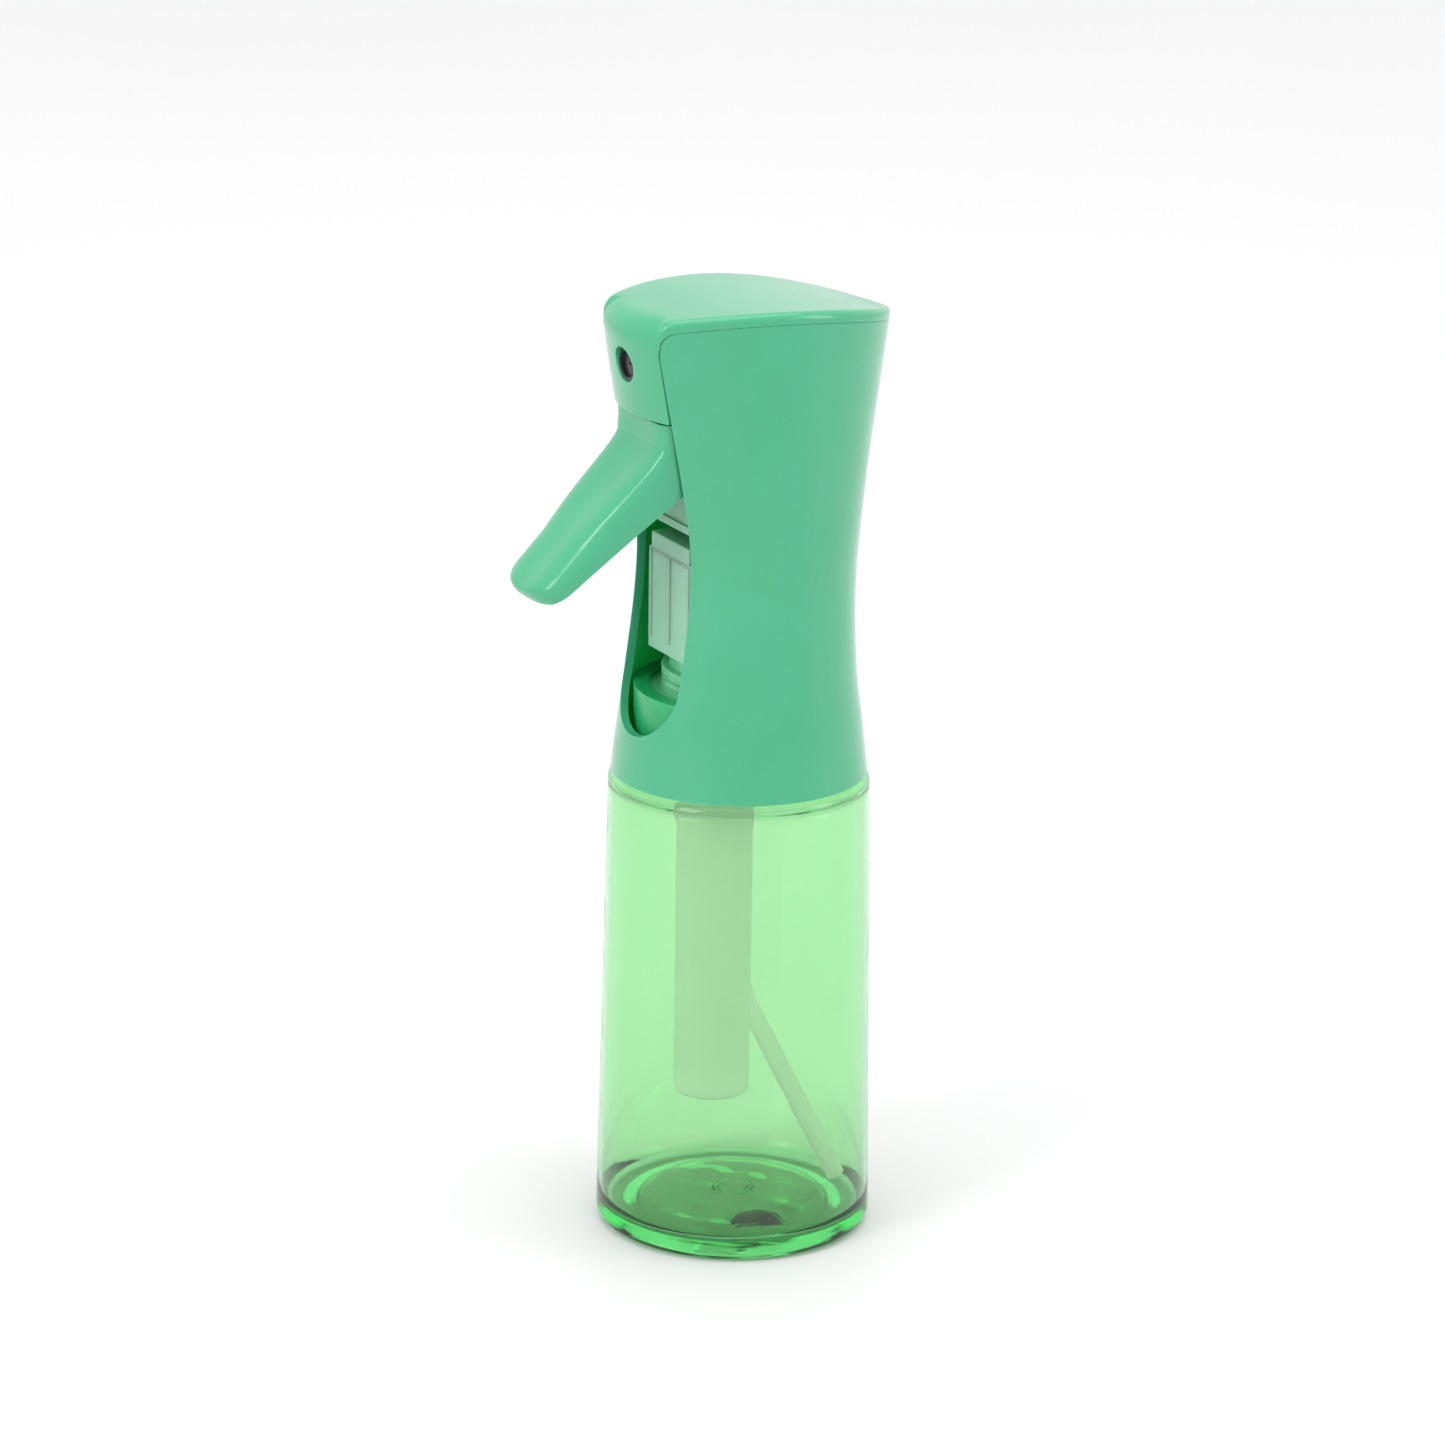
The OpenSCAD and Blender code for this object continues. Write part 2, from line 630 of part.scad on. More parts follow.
accumulator_top_z = flange_z + 5.5;
accumulator_low_z = accumulator_top_z - accumulator_len;
accumulator_bore_r = accumulator_r - accumulator_wall;
cap_t = 3;
store_piston_z = flange_z - 7;      // underside of the stored-pressure piston at rest
store_piston_h = 9;

module accumulator_tube() {
    color(natural) translate([0, accumulator_y, 0])
        tube(accumulator_low_z + cap_t / 2, accumulator_top_z, accumulator_r, accumulator_bore_r);
}

module accumulator_cap() {
    color(natural) translate([0, accumulator_y, accumulator_low_z]) difference() {
        union() {
            rotate_extrude() polygon(concat([[0, 0]], arc(accumulator_r - 1.2, 1.2, 1.2, -90, 0, 5),
                [[accumulator_r, cap_t / 2], [0, cap_t / 2]]));
            cylinder(h = cap_t + 1, r = accumulator_bore_r);
        }
        translate([0, 0, cap_t - 1]) cylinder(h = 3, r = accumulator_bore_r - 1);
        translate([0, 0, -1]) cylinder(h = 10, r = 1);
    }
}

module accumulator_piston() {
    color([0.92, 0.93, 0.90]) translate([0, accumulator_y, store_piston_z]) difference() {
        cylinder(h = store_piston_h, r = accumulator_bore_r - run);
        translate([0, 0, -1]) cylinder(h = 4, r = accumulator_bore_r - 1);
        difference() {
            translate([0, 0, 5]) cylinder(h = 2, r = accumulator_r);
            translate([0, 0, 4]) cylinder(h = 4, r = accumulator_bore_r - 1.4);
        }
    }
}

module accumulator_seal() {
    color(dark) translate([0, accumulator_y, store_piston_z])
        tube(5, 7, accumulator_bore_r - 0.02, accumulator_bore_r - 1.4);
}

module accumulator_spring() {
    low = accumulator_low_z + cap_t - 1;
    color(steel) translate([0, accumulator_y, low])
        coil_spring(accumulator_bore_r - 1.9, 0.5, store_piston_z + 3 - low, accumulator_turns);
}

// The dip tube leaves its socket straight down, bends, and runs straight to the rear corner.
dip_low_z = 5;
dip_low_y = 21.6;
dip_low_x = 3;
dip_start_z = 52;
dip_bend_r = 30;
dip_wall = 0.6;

module dip_tube() {
    reach = norm([dip_low_x - inlet_x, dip_low_y - inlet_y]);
    across_r = dip_bend_r - reach;
    drop = dip_start_z - dip_low_z;
    // The angle of the straight end that is tangent to the bend and reaches the corner
    lean = atan2(drop, across_r) - acos(dip_bend_r / norm([across_r, drop]));
    // Each station of the middle line: reach, height and lean
    line = concat([[0, inlet_seat_z - 2, 0], [0, dip_start_z + 20, 0]],
        [for (i = [0:6]) let (b = lean * i / 6)
            [dip_bend_r * (1 - cos(b)), dip_start_z - dip_bend_r * sin(b), b]],
        [[reach, dip_low_z, lean]]);
    n = len(line);
    m = 18;
    function hoop(p, r) = [for (k = [0:m - 1]) let (c = r * cos(360 * k / m))
        [p[0] + c * cos(p[2]), r * sin(360 * k / m), p[1] + c * sin(p[2])]];
    // The hoops run down the outside and up the inside, so they close on themselves.
    hoops = concat([for (p = line) each hoop(p, dip_tube_r)],
        [for (i = [n - 1:-1:0]) each hoop(line[i], dip_tube_r - dip_wall)]);
    color(natural) translate([inlet_x, inlet_y, 0])
        rotate([0, 0, atan2(dip_low_y - inlet_y, dip_low_x - inlet_x)])
            polyhedron(hoops, [for (i = [0:2 * n - 1], k = [0:m - 1])
                let (j = (k + 1) % m, next = (i + 1) % (2 * n))
                    [m * i + k, m * i + j, m * next + j, m * next + k]], convexity = 8);
}

vent_x = 9.6;
vent_y = 4;
vent_r = 1.1;

module vent_valve() {
    color(dark) translate([vent_x, vent_y, flange_z]) {
        translate([0, 0, -0.6]) cylinder(h = 0.6, r = vent_r + 0.6);
        translate([0, 0, -0.6]) cylinder(h = flange_t + 1, r = vent_r);
    }
}

bottle();
neck_gasket();
closure_ring();
shroud();
front_cover();
valve_tower();
pump_cylinder();
link_tube();
delivery_tube();
nozzle_holder();
nozzle_seal();
swirl_core();
nozzle_insert();
trigger_pin();
trigger();
piston();
piston_seal();
return_spring();
inlet_seat();
inlet_ball();
outlet_ball();
accumulator_tube();
accumulator_cap();
accumulator_piston();
accumulator_seal();
accumulator_spring();
dip_tube();
vent_valve();
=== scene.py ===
"""The hand mister: glossy head casing, trigger and clear bottle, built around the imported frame.

Lengths in the shape classes are millimetres; Surface.build turns them into metres.
"""

import json
import logging
import math
from dataclasses import dataclass, field, replace
from enum import Enum
from typing import Optional, Sequence

import bmesh
import bpy
import numpy as np
from mathutils import Matrix, Vector

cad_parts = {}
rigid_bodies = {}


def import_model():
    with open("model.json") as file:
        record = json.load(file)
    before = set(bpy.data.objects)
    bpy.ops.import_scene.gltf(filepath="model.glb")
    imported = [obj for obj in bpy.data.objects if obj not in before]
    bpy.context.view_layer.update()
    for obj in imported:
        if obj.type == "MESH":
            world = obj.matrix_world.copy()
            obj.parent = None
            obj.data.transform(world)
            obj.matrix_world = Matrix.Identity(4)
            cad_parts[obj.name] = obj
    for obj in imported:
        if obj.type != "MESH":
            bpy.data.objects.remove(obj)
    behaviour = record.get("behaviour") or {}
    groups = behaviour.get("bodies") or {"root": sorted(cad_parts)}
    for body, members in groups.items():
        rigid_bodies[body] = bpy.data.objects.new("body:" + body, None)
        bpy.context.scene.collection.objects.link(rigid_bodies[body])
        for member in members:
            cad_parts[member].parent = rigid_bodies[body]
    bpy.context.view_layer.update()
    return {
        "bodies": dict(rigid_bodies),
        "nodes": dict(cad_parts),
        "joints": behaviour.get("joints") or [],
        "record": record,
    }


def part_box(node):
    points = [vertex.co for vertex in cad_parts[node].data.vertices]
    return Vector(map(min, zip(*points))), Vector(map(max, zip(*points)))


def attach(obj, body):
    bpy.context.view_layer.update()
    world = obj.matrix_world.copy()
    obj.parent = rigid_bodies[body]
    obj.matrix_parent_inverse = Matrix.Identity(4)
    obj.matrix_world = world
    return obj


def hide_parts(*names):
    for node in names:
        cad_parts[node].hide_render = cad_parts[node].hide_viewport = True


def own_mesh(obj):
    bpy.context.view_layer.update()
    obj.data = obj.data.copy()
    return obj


LOG = logging.getLogger("hand_mister")
MM = 0.001


class Slot(Enum):
    """The record's material slots."""

    BOTTLE = "bottle_clear"
    CASING = "casing"
    NATURAL = "natural"
    PISTON = "piston_white"
    NOZZLE = "nozzle_black"
    SEAL = "seal"
    GASKET = "gasket"
    STEEL = "steel"


# ---- finishes ---------------------------------------------------------------------------


@dataclass(frozen=True)
class Finish:
    """One material: its two tones, how rough it is and the texture moulded or worn into it.

    Scales are repeats per metre of Object coordinates, depths are metres. The glow is faint and stands for light
    scattered inside milky plastic.
    """

    name: str
    tone: tuple[float, float, float]
    second_tone: tuple[float, float, float]
    tone_scale: float = 45.0
    roughness: tuple[float, float] = (0.2, 0.3)
    smudge_scale: float = 120.0
    grain_scale: float = 2600.0
    grain_depth: float = 0.00001
    scratches: float = 0.06
    metallic: float = 0.0
    ior: float = 1.5
    coat: float = 0.0
    coat_roughness: float = 0.06
    subsurface: float = 0.0
    subsurface_radius: tuple[float, float, float] = (1.0, 1.0, 1.0)
    subsurface_scale: float = 0.002
    transmission: float = 0.0
    glow: float = 0.0
    absorb_colour: Optional[tuple[float, float, float]] = None
    absorb_density: float = 0.0


MINT = Finish(
    "mint_gloss_plastic",
    tone=(0.044, 0.372, 0.188),
    second_tone=(0.048, 0.388, 0.202),
    roughness=(0.14, 0.26),
    coat=0.35,
    coat_roughness=0.05,
    subsurface=0.2,
    subsurface_radius=(0.5, 1.0, 0.8),
    subsurface_scale=0.0016,
    grain_depth=0.000006,
)
# Painted light: a brighter, more saturated copy of the mint for the casing's inner faces, standing for light that
# comes through the thin wall.
MINT_INSIDE_PAINTED_LIGHT = Finish(
    "mint_inside_painted_light",
    tone=(0.040, 0.780, 0.290),
    second_tone=(0.055, 0.820, 0.330),
    roughness=(0.3, 0.45),
    subsurface=0.3,
    subsurface_radius=(0.3, 1.0, 0.6),
    subsurface_scale=0.003,
)
CLEAR_GREEN = Finish(
    "clear_green_bottle",
    tone=(0.650, 0.880, 0.620),
    second_tone=(0.675, 0.900, 0.645),
    tone_scale=30.0,
    roughness=(0.01, 0.07),
    smudge_scale=70.0,
    grain_scale=160.0,
    grain_depth=0.00006,
    scratches=0.05,
    ior=1.45,
    transmission=1.0,
    absorb_colour=(0.02, 0.98, 0.45),
    absorb_density=110.0,
)
# Tone partly the plastic's own, partly painted: its green tint and darkness are painted green light and shade from
# the casing around it.
NATURAL = Finish(
    "natural_plastic_with_painted_green_shade",
    tone=(0.340, 0.660, 0.470),
    second_tone=(0.290, 0.620, 0.420),
    roughness=(0.32, 0.5),
    grain_depth=0.00002,
    ior=1.49,
    subsurface=0.4,
    subsurface_radius=(0.6, 1.0, 0.8),
    subsurface_scale=0.004,
    transmission=0.15,
)
FROSTED = Finish(
    "frosted_tube_plastic",
    tone=(0.930, 0.960, 0.900),
    second_tone=(0.890, 0.940, 0.870),
    tone_scale=60.0,
    roughness=(0.42, 0.55),
    grain_depth=0.00001,
    scratches=0.02,
    ior=1.3,
    subsurface=0.3,
    subsurface_radius=(1.0, 1.0, 1.0),
    subsurface_scale=0.006,
    transmission=0.15,
    glow=0.13,
)
SHADED_FOOT = Finish(
    "green_lit_tower_foot",
    tone=(0.110, 0.500, 0.240),
    second_tone=(0.170, 0.580, 0.320),
    tone_scale=180.0,
    roughness=(0.25, 0.4),
    ior=1.49,
    subsurface=0.4,
    subsurface_radius=(0.4, 1.0, 0.6),
    subsurface_scale=0.003,
)
WHITE = Finish("white_piston_plastic", (0.84, 0.85, 0.82), (0.78, 0.79, 0.75), roughness=(0.3, 0.45))
BLACK = Finish(
    "black_nozzle_plastic", (0.011, 0.011, 0.012), (0.019, 0.019, 0.020), roughness=(0.22, 0.4), tone_scale=300.0
)
SEAL = Finish("black_seal_rubber", (0.012, 0.012, 0.012), (0.02, 0.02, 0.02), roughness=(0.5, 0.7))
GASKET = Finish(
    "white_gasket_foam", (0.80, 0.80, 0.77), (0.72, 0.72, 0.69), roughness=(0.6, 0.8), grain_depth=0.00004
)
STEEL = Finish(
    "bright_spring_steel",
    (0.60, 0.61, 0.62),
    (0.50, 0.51, 0.52),
    roughness=(0.16, 0.34),
    tone_scale=400.0,
    metallic=1.0,
    scratches=0.2,
)
PALE_FLOOR = Finish(
    "pale_floor",
    (0.75, 0.75, 0.75),
    (0.77, 0.77, 0.77),
    tone_scale=2.0,
    roughness=(0.5, 0.6),
    smudge_scale=6.0,
    grain_scale=300.0,
    grain_depth=0.00002,
    scratches=0.0,
)

SHADED_RING = replace(
    SHADED_FOOT, name="green_lit_ring", tone=(0.012, 0.330, 0.110), second_tone=(0.020, 0.390, 0.140)
)

FINISH_OF_NODE = {
    "accumulator_tube": FROSTED,
    "accumulator_cap": FROSTED,
    "dip_tube": FROSTED,
    "closure_ring": SHADED_RING,
}

FINISH_OF_SLOT = {
    Slot.BOTTLE: CLEAR_GREEN,
    Slot.CASING: MINT,
    Slot.NATURAL: NATURAL,
    Slot.PISTON: WHITE,
    Slot.NOZZLE: BLACK,
    Slot.SEAL: SEAL,
    Slot.GASKET: GASKET,
    Slot.STEEL: STEEL,
}


class Painter:
    """Makes each finish into one node material and keeps it for reuse."""

    def __init__(self) -> None:
        """Starts with no materials."""
        self._made: dict[str, bpy.types.Material] = {}

    def material(self, finish: Finish) -> bpy.types.Material:
        """Gives the material of a finish, made on first use.

        Args:
            finish: The finish wanted.

        Returns:
            Its material.
        """
        if finish.name not in self._made:
            self._made[finish.name] = self._make(finish)
            LOG.info("material %s", finish.name)
        return self._made[finish.name]

    def _noise(
        self, tree: bpy.types.NodeTree, vector: bpy.types.NodeSocket, scale: float, detail: float
    ) -> bpy.types.NodeSocket:
        """Adds a noise pattern.

        Args:
            tree: The tree it goes in.
            vector: Where on the object it is read.
            scale: Repeats per metre.
            detail: Octaves.

        Returns:
            The pattern's value, 0 to 1.
        """
        node = tree.nodes.new("ShaderNodeTexNoise")
        node.inputs["Scale"].default_value = scale
        node.inputs["Detail"].default_value = detail
        tree.links.new(vector, node.inputs["Vector"])
        return node.outputs["Fac"]

    def _spread(
        self,
        tree: bpy.types.NodeTree,
        value: bpy.types.NodeSocket,
        source: tuple[float, float],
        target: tuple[float, float],
    ) -> bpy.types.NodeSocket:
        """Maps a value from one span to another, held at its ends.

        Args:
            tree: The tree it goes in.
            value: The value.
            source: The span it comes from.
            target: The span it goes to.

        Returns:
            The mapped value.
        """
        node = tree.nodes.new("ShaderNodeMapRange")
        for label, number in zip(("From Min", "From Max", "To Min", "To Max"), source + target):
            node.inputs[label].default_value = number
        tree.links.new(value, node.inputs["Value"])
        return node.outputs["Result"]

    def _make(self, finish: Finish) -> bpy.types.Material:
        """Builds a finish's nodes: a tone that drifts, smudges and hairlines in the gloss, a moulded grain.

        Args:
            finish: The finish.

        Returns:
            The new material.
        """
        material = bpy.data.materials.new(finish.name)
        material.use_nodes = True
        tree = material.node_tree
        shader = tree.nodes["Principled BSDF"]
        place = tree.nodes.new("ShaderNodeTexCoord").outputs["Object"]
        drift = self._spread(tree, self._noise(tree, place, finish.tone_scale, 3), (0.35, 0.65), (0.0, 1.0))
        mix = tree.nodes.new("ShaderNodeMix")
        mix.data_type = "RGBA"
        mix.inputs["A"].default_value = (*finish.tone, 1)
        mix.inputs["B"].default_value = (*finish.second_tone, 1)
        tree.links.new(drift, mix.inputs["Factor"])
        tree.links.new(mix.outputs["Result"], shader.inputs["Base Color"])
        smudge = self._spread(tree, self._noise(tree, place, finish.smudge_scale, 4), (0.3, 0.7), finish.roughness)
        stretch = tree.nodes.new("ShaderNodeMapping")
        stretch.inputs["Rotation"].default_value = (0.5, 0.3, 0.9)
        stretch.inputs["Scale"].default_value = (6.0, 260.0, 40.0)
        tree.links.new(place, stretch.inputs["Vector"])
        hairline = self._noise(tree, stretch.outputs["Vector"], 22.0, 2)
        line = self._spread(tree, hairline, (0.68, 0.74), (0.0, finish.scratches))
        add = tree.nodes.new("ShaderNodeMath")
        add.operation = "ADD"
        tree.links.new(smudge, add.inputs[0])
        tree.links.new(line, add.inputs[1])
        tree.links.new(add.outputs[0], shader.inputs["Roughness"])
        bump = tree.nodes.new("ShaderNodeBump")
        bump.inputs["Strength"].default_value = 0.5
        bump.inputs["Distance"].default_value = finish.grain_depth
        tree.links.new(self._noise(tree, place, finish.grain_scale, 3), bump.inputs["Height"])
        tree.links.new(bump.outputs["Normal"], shader.inputs["Normal"])
        for label, number in (
            ("Metallic", finish.metallic),
            ("IOR", finish.ior),
            ("Coat Weight", finish.coat),
            ("Coat Roughness", finish.coat_roughness),
            ("Subsurface Weight", finish.subsurface),
            ("Subsurface Radius", finish.subsurface_radius),
            ("Subsurface Scale", finish.subsurface_scale),
            ("Transmission Weight", finish.transmission),
            ("Emission Color", (*finish.tone, 1.0)),
            ("Emission Strength", finish.glow),
        ):
            shader.inputs[label].default_value = number
        if finish.absorb_colour is not None:
            absorb = tree.nodes.new("ShaderNodeVolumeAbsorption")
            absorb.inputs["Color"].default_value = (*finish.absorb_colour, 1)
            absorb.inputs["Density"].default_value = finish.absorb_density
            tree.links.new(absorb.outputs["Volume"], tree.nodes["Material Output"].inputs["Volume"])
        return material


# ---- surfaces ---------------------------------------------------------------------------


@dataclass
class Surface:
    """Points and faces of one piece, gathered grid by grid."""

    name: str
    points: list[np.ndarray] = field(default_factory=list)
    faces: list[list[int]] = field(default_factory=list)
    inner: list[bool] = field(default_factory=list)
    count: int = 0

    def grid(
        self, points: np.ndarray, wrap_rows: bool = False, wrap_columns: bool = False, inner: bool = False
    ) -> None:
        """Adds a grid of points, with a four-sided face between each four neighbours.

        Args:
            points: Rows by columns by 3.
            wrap_rows: Whether the last row joins the first.
            wrap_columns: Whether the last column joins the first.
            inner: Whether the faces take the piece's second material.
        """
        rows, columns = points.shape[:2]
        index = np.arange(rows * columns).reshape(rows, columns) + self.count
        if wrap_rows:
            index = np.vstack([index, index[:1]])
        if wrap_columns:
            index = np.hstack([index, index[:, :1]])
        quads = np.stack([index[:-1, :-1], index[:-1, 1:], index[1:, 1:], index[1:, :-1]], axis=-1)
        self.points.append(points.reshape(-1, 3))
        self.faces.extend(quads.reshape(-1, 4).tolist())
        self.inner.extend([inner] * (quads.size // 4))
        self.count += rows * columns

    def cap(self, loop: np.ndarray) -> None:
        """Adds one flat face.

        Args:
            loop: Its corners in order, n by 3.
        """
        self.points.append(loop)
        self.faces.append(list(range(self.count, self.count + len(loop))))
        self.inner.append(False)
        self.count += len(loop)

    def plate(self, outline: np.ndarray, low: float, high: float, hole: Optional[np.ndarray] = None) -> None:
        """Adds a flat plate across X from an outline in Y and Z, with a hole of as many points if one is given.

        Args:
            outline: Its corners in order, n by 2.
            low: Its lower X.
            high: Its upper X.
            hole: The hole's points, each beside the outline's point of the same number.
        """

        def at(loop: np.ndarray, x: float) -> np.ndarray:
            """Puts a loop at one X.

            Args:
                loop: n by 2.
                x: The X.

            Returns:
                n by 3.
            """
            return np.column_stack([np.full(len(loop), x), loop])

        if hole is None:
            self.grid(np.stack([at(outline, low), at(outline, high)]), wrap_columns=True)
            self.cap(at(outline, low))
            self.cap(at(outline, high))
        else:
            loops = [at(outline, low), at(outline, high), at(hole, high), at(hole, low)]
            self.grid(np.stack(loops), wrap_rows=True, wrap_columns=True)

    def build(
        self, material: bpy.types.Material, sharp_degrees: float = 38.0, inside: Optional[bpy.types.Material] = None
    ) -> bpy.types.Object:
        """Makes the mesh object: welds the seams, drops faces without area and turns all faces outwards.

        Args:
            material: Its material.
            inside: Its second material, for the faces marked inner.
            sharp_degrees: Edges steeper than this stay crisp.

        Returns:
            The object, at the origin.
        """
        mesh = bpy.data.meshes.new(self.name)
        mesh.from_pydata((np.vstack(self.points) * MM).tolist(), [], self.faces)
        for coat in (material, inside):
            if coat is not None:
                mesh.materials.append(coat)
        mesh.polygons.foreach_set("material_index", np.array(self.inner, np.int32))
        work = bmesh.new()
        work.from_mesh(mesh)
        bmesh.ops.remove_doubles(work, verts=work.verts, dist=0.004 * MM)
        bmesh.ops.dissolve_degenerate(work, dist=0.001 * MM, edges=work.edges)
        bmesh.ops.recalc_face_normals(work, faces=work.faces)
        open_edges = sum(1 for edge in work.edges if not edge.is_manifold)
        work.to_mesh(mesh)
        work.free()
        mesh.shade_smooth()
        mesh.set_sharp_from_angle(angle=math.radians(sharp_degrees))
        made = bpy.data.objects.new(self.name, mesh)
        bpy.context.scene.collection.objects.link(made)
        LOG.info("%s: %d faces, %d open edges", self.name, len(mesh.polygons), open_edges)
        return made


def bevel(piece: bpy.types.Object, width: float, segments: int = 3, degrees: float = 50.0) -> None:
    """Rounds a piece's crisp edges.

    Args:
        piece: The piece.
        width: Width of the rounding, in millimetres.
        segments: Faces across it.
        degrees: Only edges steeper than this are rounded.
    """
    made = piece.modifiers.new("edge_rounding", "BEVEL")
    made.width = width * MM
    made.segments = segments
    made.limit_method = "ANGLE"
    made.angle_limit = math.radians(degrees)
    made.use_clamp_overlap = True
    made.harden_normals = False


def thicken(piece: bpy.types.Object, wall: float) -> None:
    """Gives an open skin its wall, inwards.

    Args:
        piece: The piece.
        wall: The wall, in millimetres.
    """
    made = piece.modifiers.new("wall", "SOLIDIFY")
    made.thickness = wall * MM
    made.offset = -1.0
    made.use_even_offset = False
    made.use_quality_normals = True
    made.use_rim = True


def mirrored(points: np.ndarray) -> np.ndarray:
    """Joins a right half to its mirror image, column by column, sharing the last column.

    Args:
        points: Rows by columns by 3, whose last column lies on X = 0.

    Returns:
        Rows by twice the columns less one.
    """
    left = points[:, -2::-1] * np.array([-1.0, 1.0, 1.0])
    return np.concatenate([points, left], axis=1)


def spaced(points: Sequence[tuple[float, float]], count: int) -> np.ndarray:
    """Points evenly spaced by length along a smooth curve through the given points.

    The curve is centripetal: between two points it is the cubic whose end slopes are those of the chord of their
    neighbours.

    Args:
        points: The points to pass through.
        count: How many points to give.

    Returns:
        count by 2.
    """
    knots = np.asarray(points, float)
    padded = np.vstack([2 * knots[0] - knots[1], knots, 2 * knots[-1] - knots[-2]])
    t = np.linspace(0, 1, 24, endpoint=False)[:, None, None]
    a, b, c, d = padded[:-3], padded[1:-2], padded[2:-1], padded[3:]
    dense = 0.5 * (2 * b + (c - a) * t + (2 * a - 5 * b + 4 * c - d) * t**2 + (3 * b - a - 3 * c + d) * t**3)
    dense = np.vstack([dense.transpose(1, 0, 2).reshape(-1, 2), knots[-1:]])
    run = np.concatenate([[0], np.cumsum(np.linalg.norm(np.diff(dense, axis=0), axis=1))])
    at = np.linspace(0, run[-1], count)
    return np.column_stack([np.interp(at, run, dense[:, 0]), np.interp(at, run, dense[:, 1])])


# ---- head -------------------------------------------------------------------------------


@dataclass(frozen=True)
class HeadSize:
    """Sizes of the head casing."""

    low_z: float = 91.4
    height: float = 93.0
    window_half: float = 10.8
    window_low_z: float = 100.9
    wall: float = 1.6
    gap: float = 0.07
    corner_r: float = 2.0
    arch_r: float = 125.0
    arch_y: float = -8.0
    plate: float = 2.2
    seam_r: float = 4.0
    panel_r: float = 28.0
    panel_y: float = -25.3
    panel_lean: float = 9.7
    panel_low_z: float = 163.7
    nozzle_z: float = 173.2
    nozzle_hole_r: float = 3.4

    @property
    def peak_z(self) -> float:
        """Height of the arch's crown."""
        return self.low_z + self.height


# share of the head's height, half-width, reach of the rear corner, reach of the window's edges
STATIONS = np.array(
    [
        [0.00, 24.5, 24.5, 21.99],
        [0.10, 23.4, 23.4, 20.76],
        [0.22, 21.9, 22.2, 19.05],
        [0.38, 20.3, 22.7, 17.19],
        [0.50, 20.0, 24.0, 16.90],
        [0.66, 19.4, 26.7, 19.20],
        [0.85, 18.3, 30.1, 22.75],
        [1.00, 17.5, 32.2, 25.40],
        [1.04, 17.3, 32.8, 26.10],
    ]
)


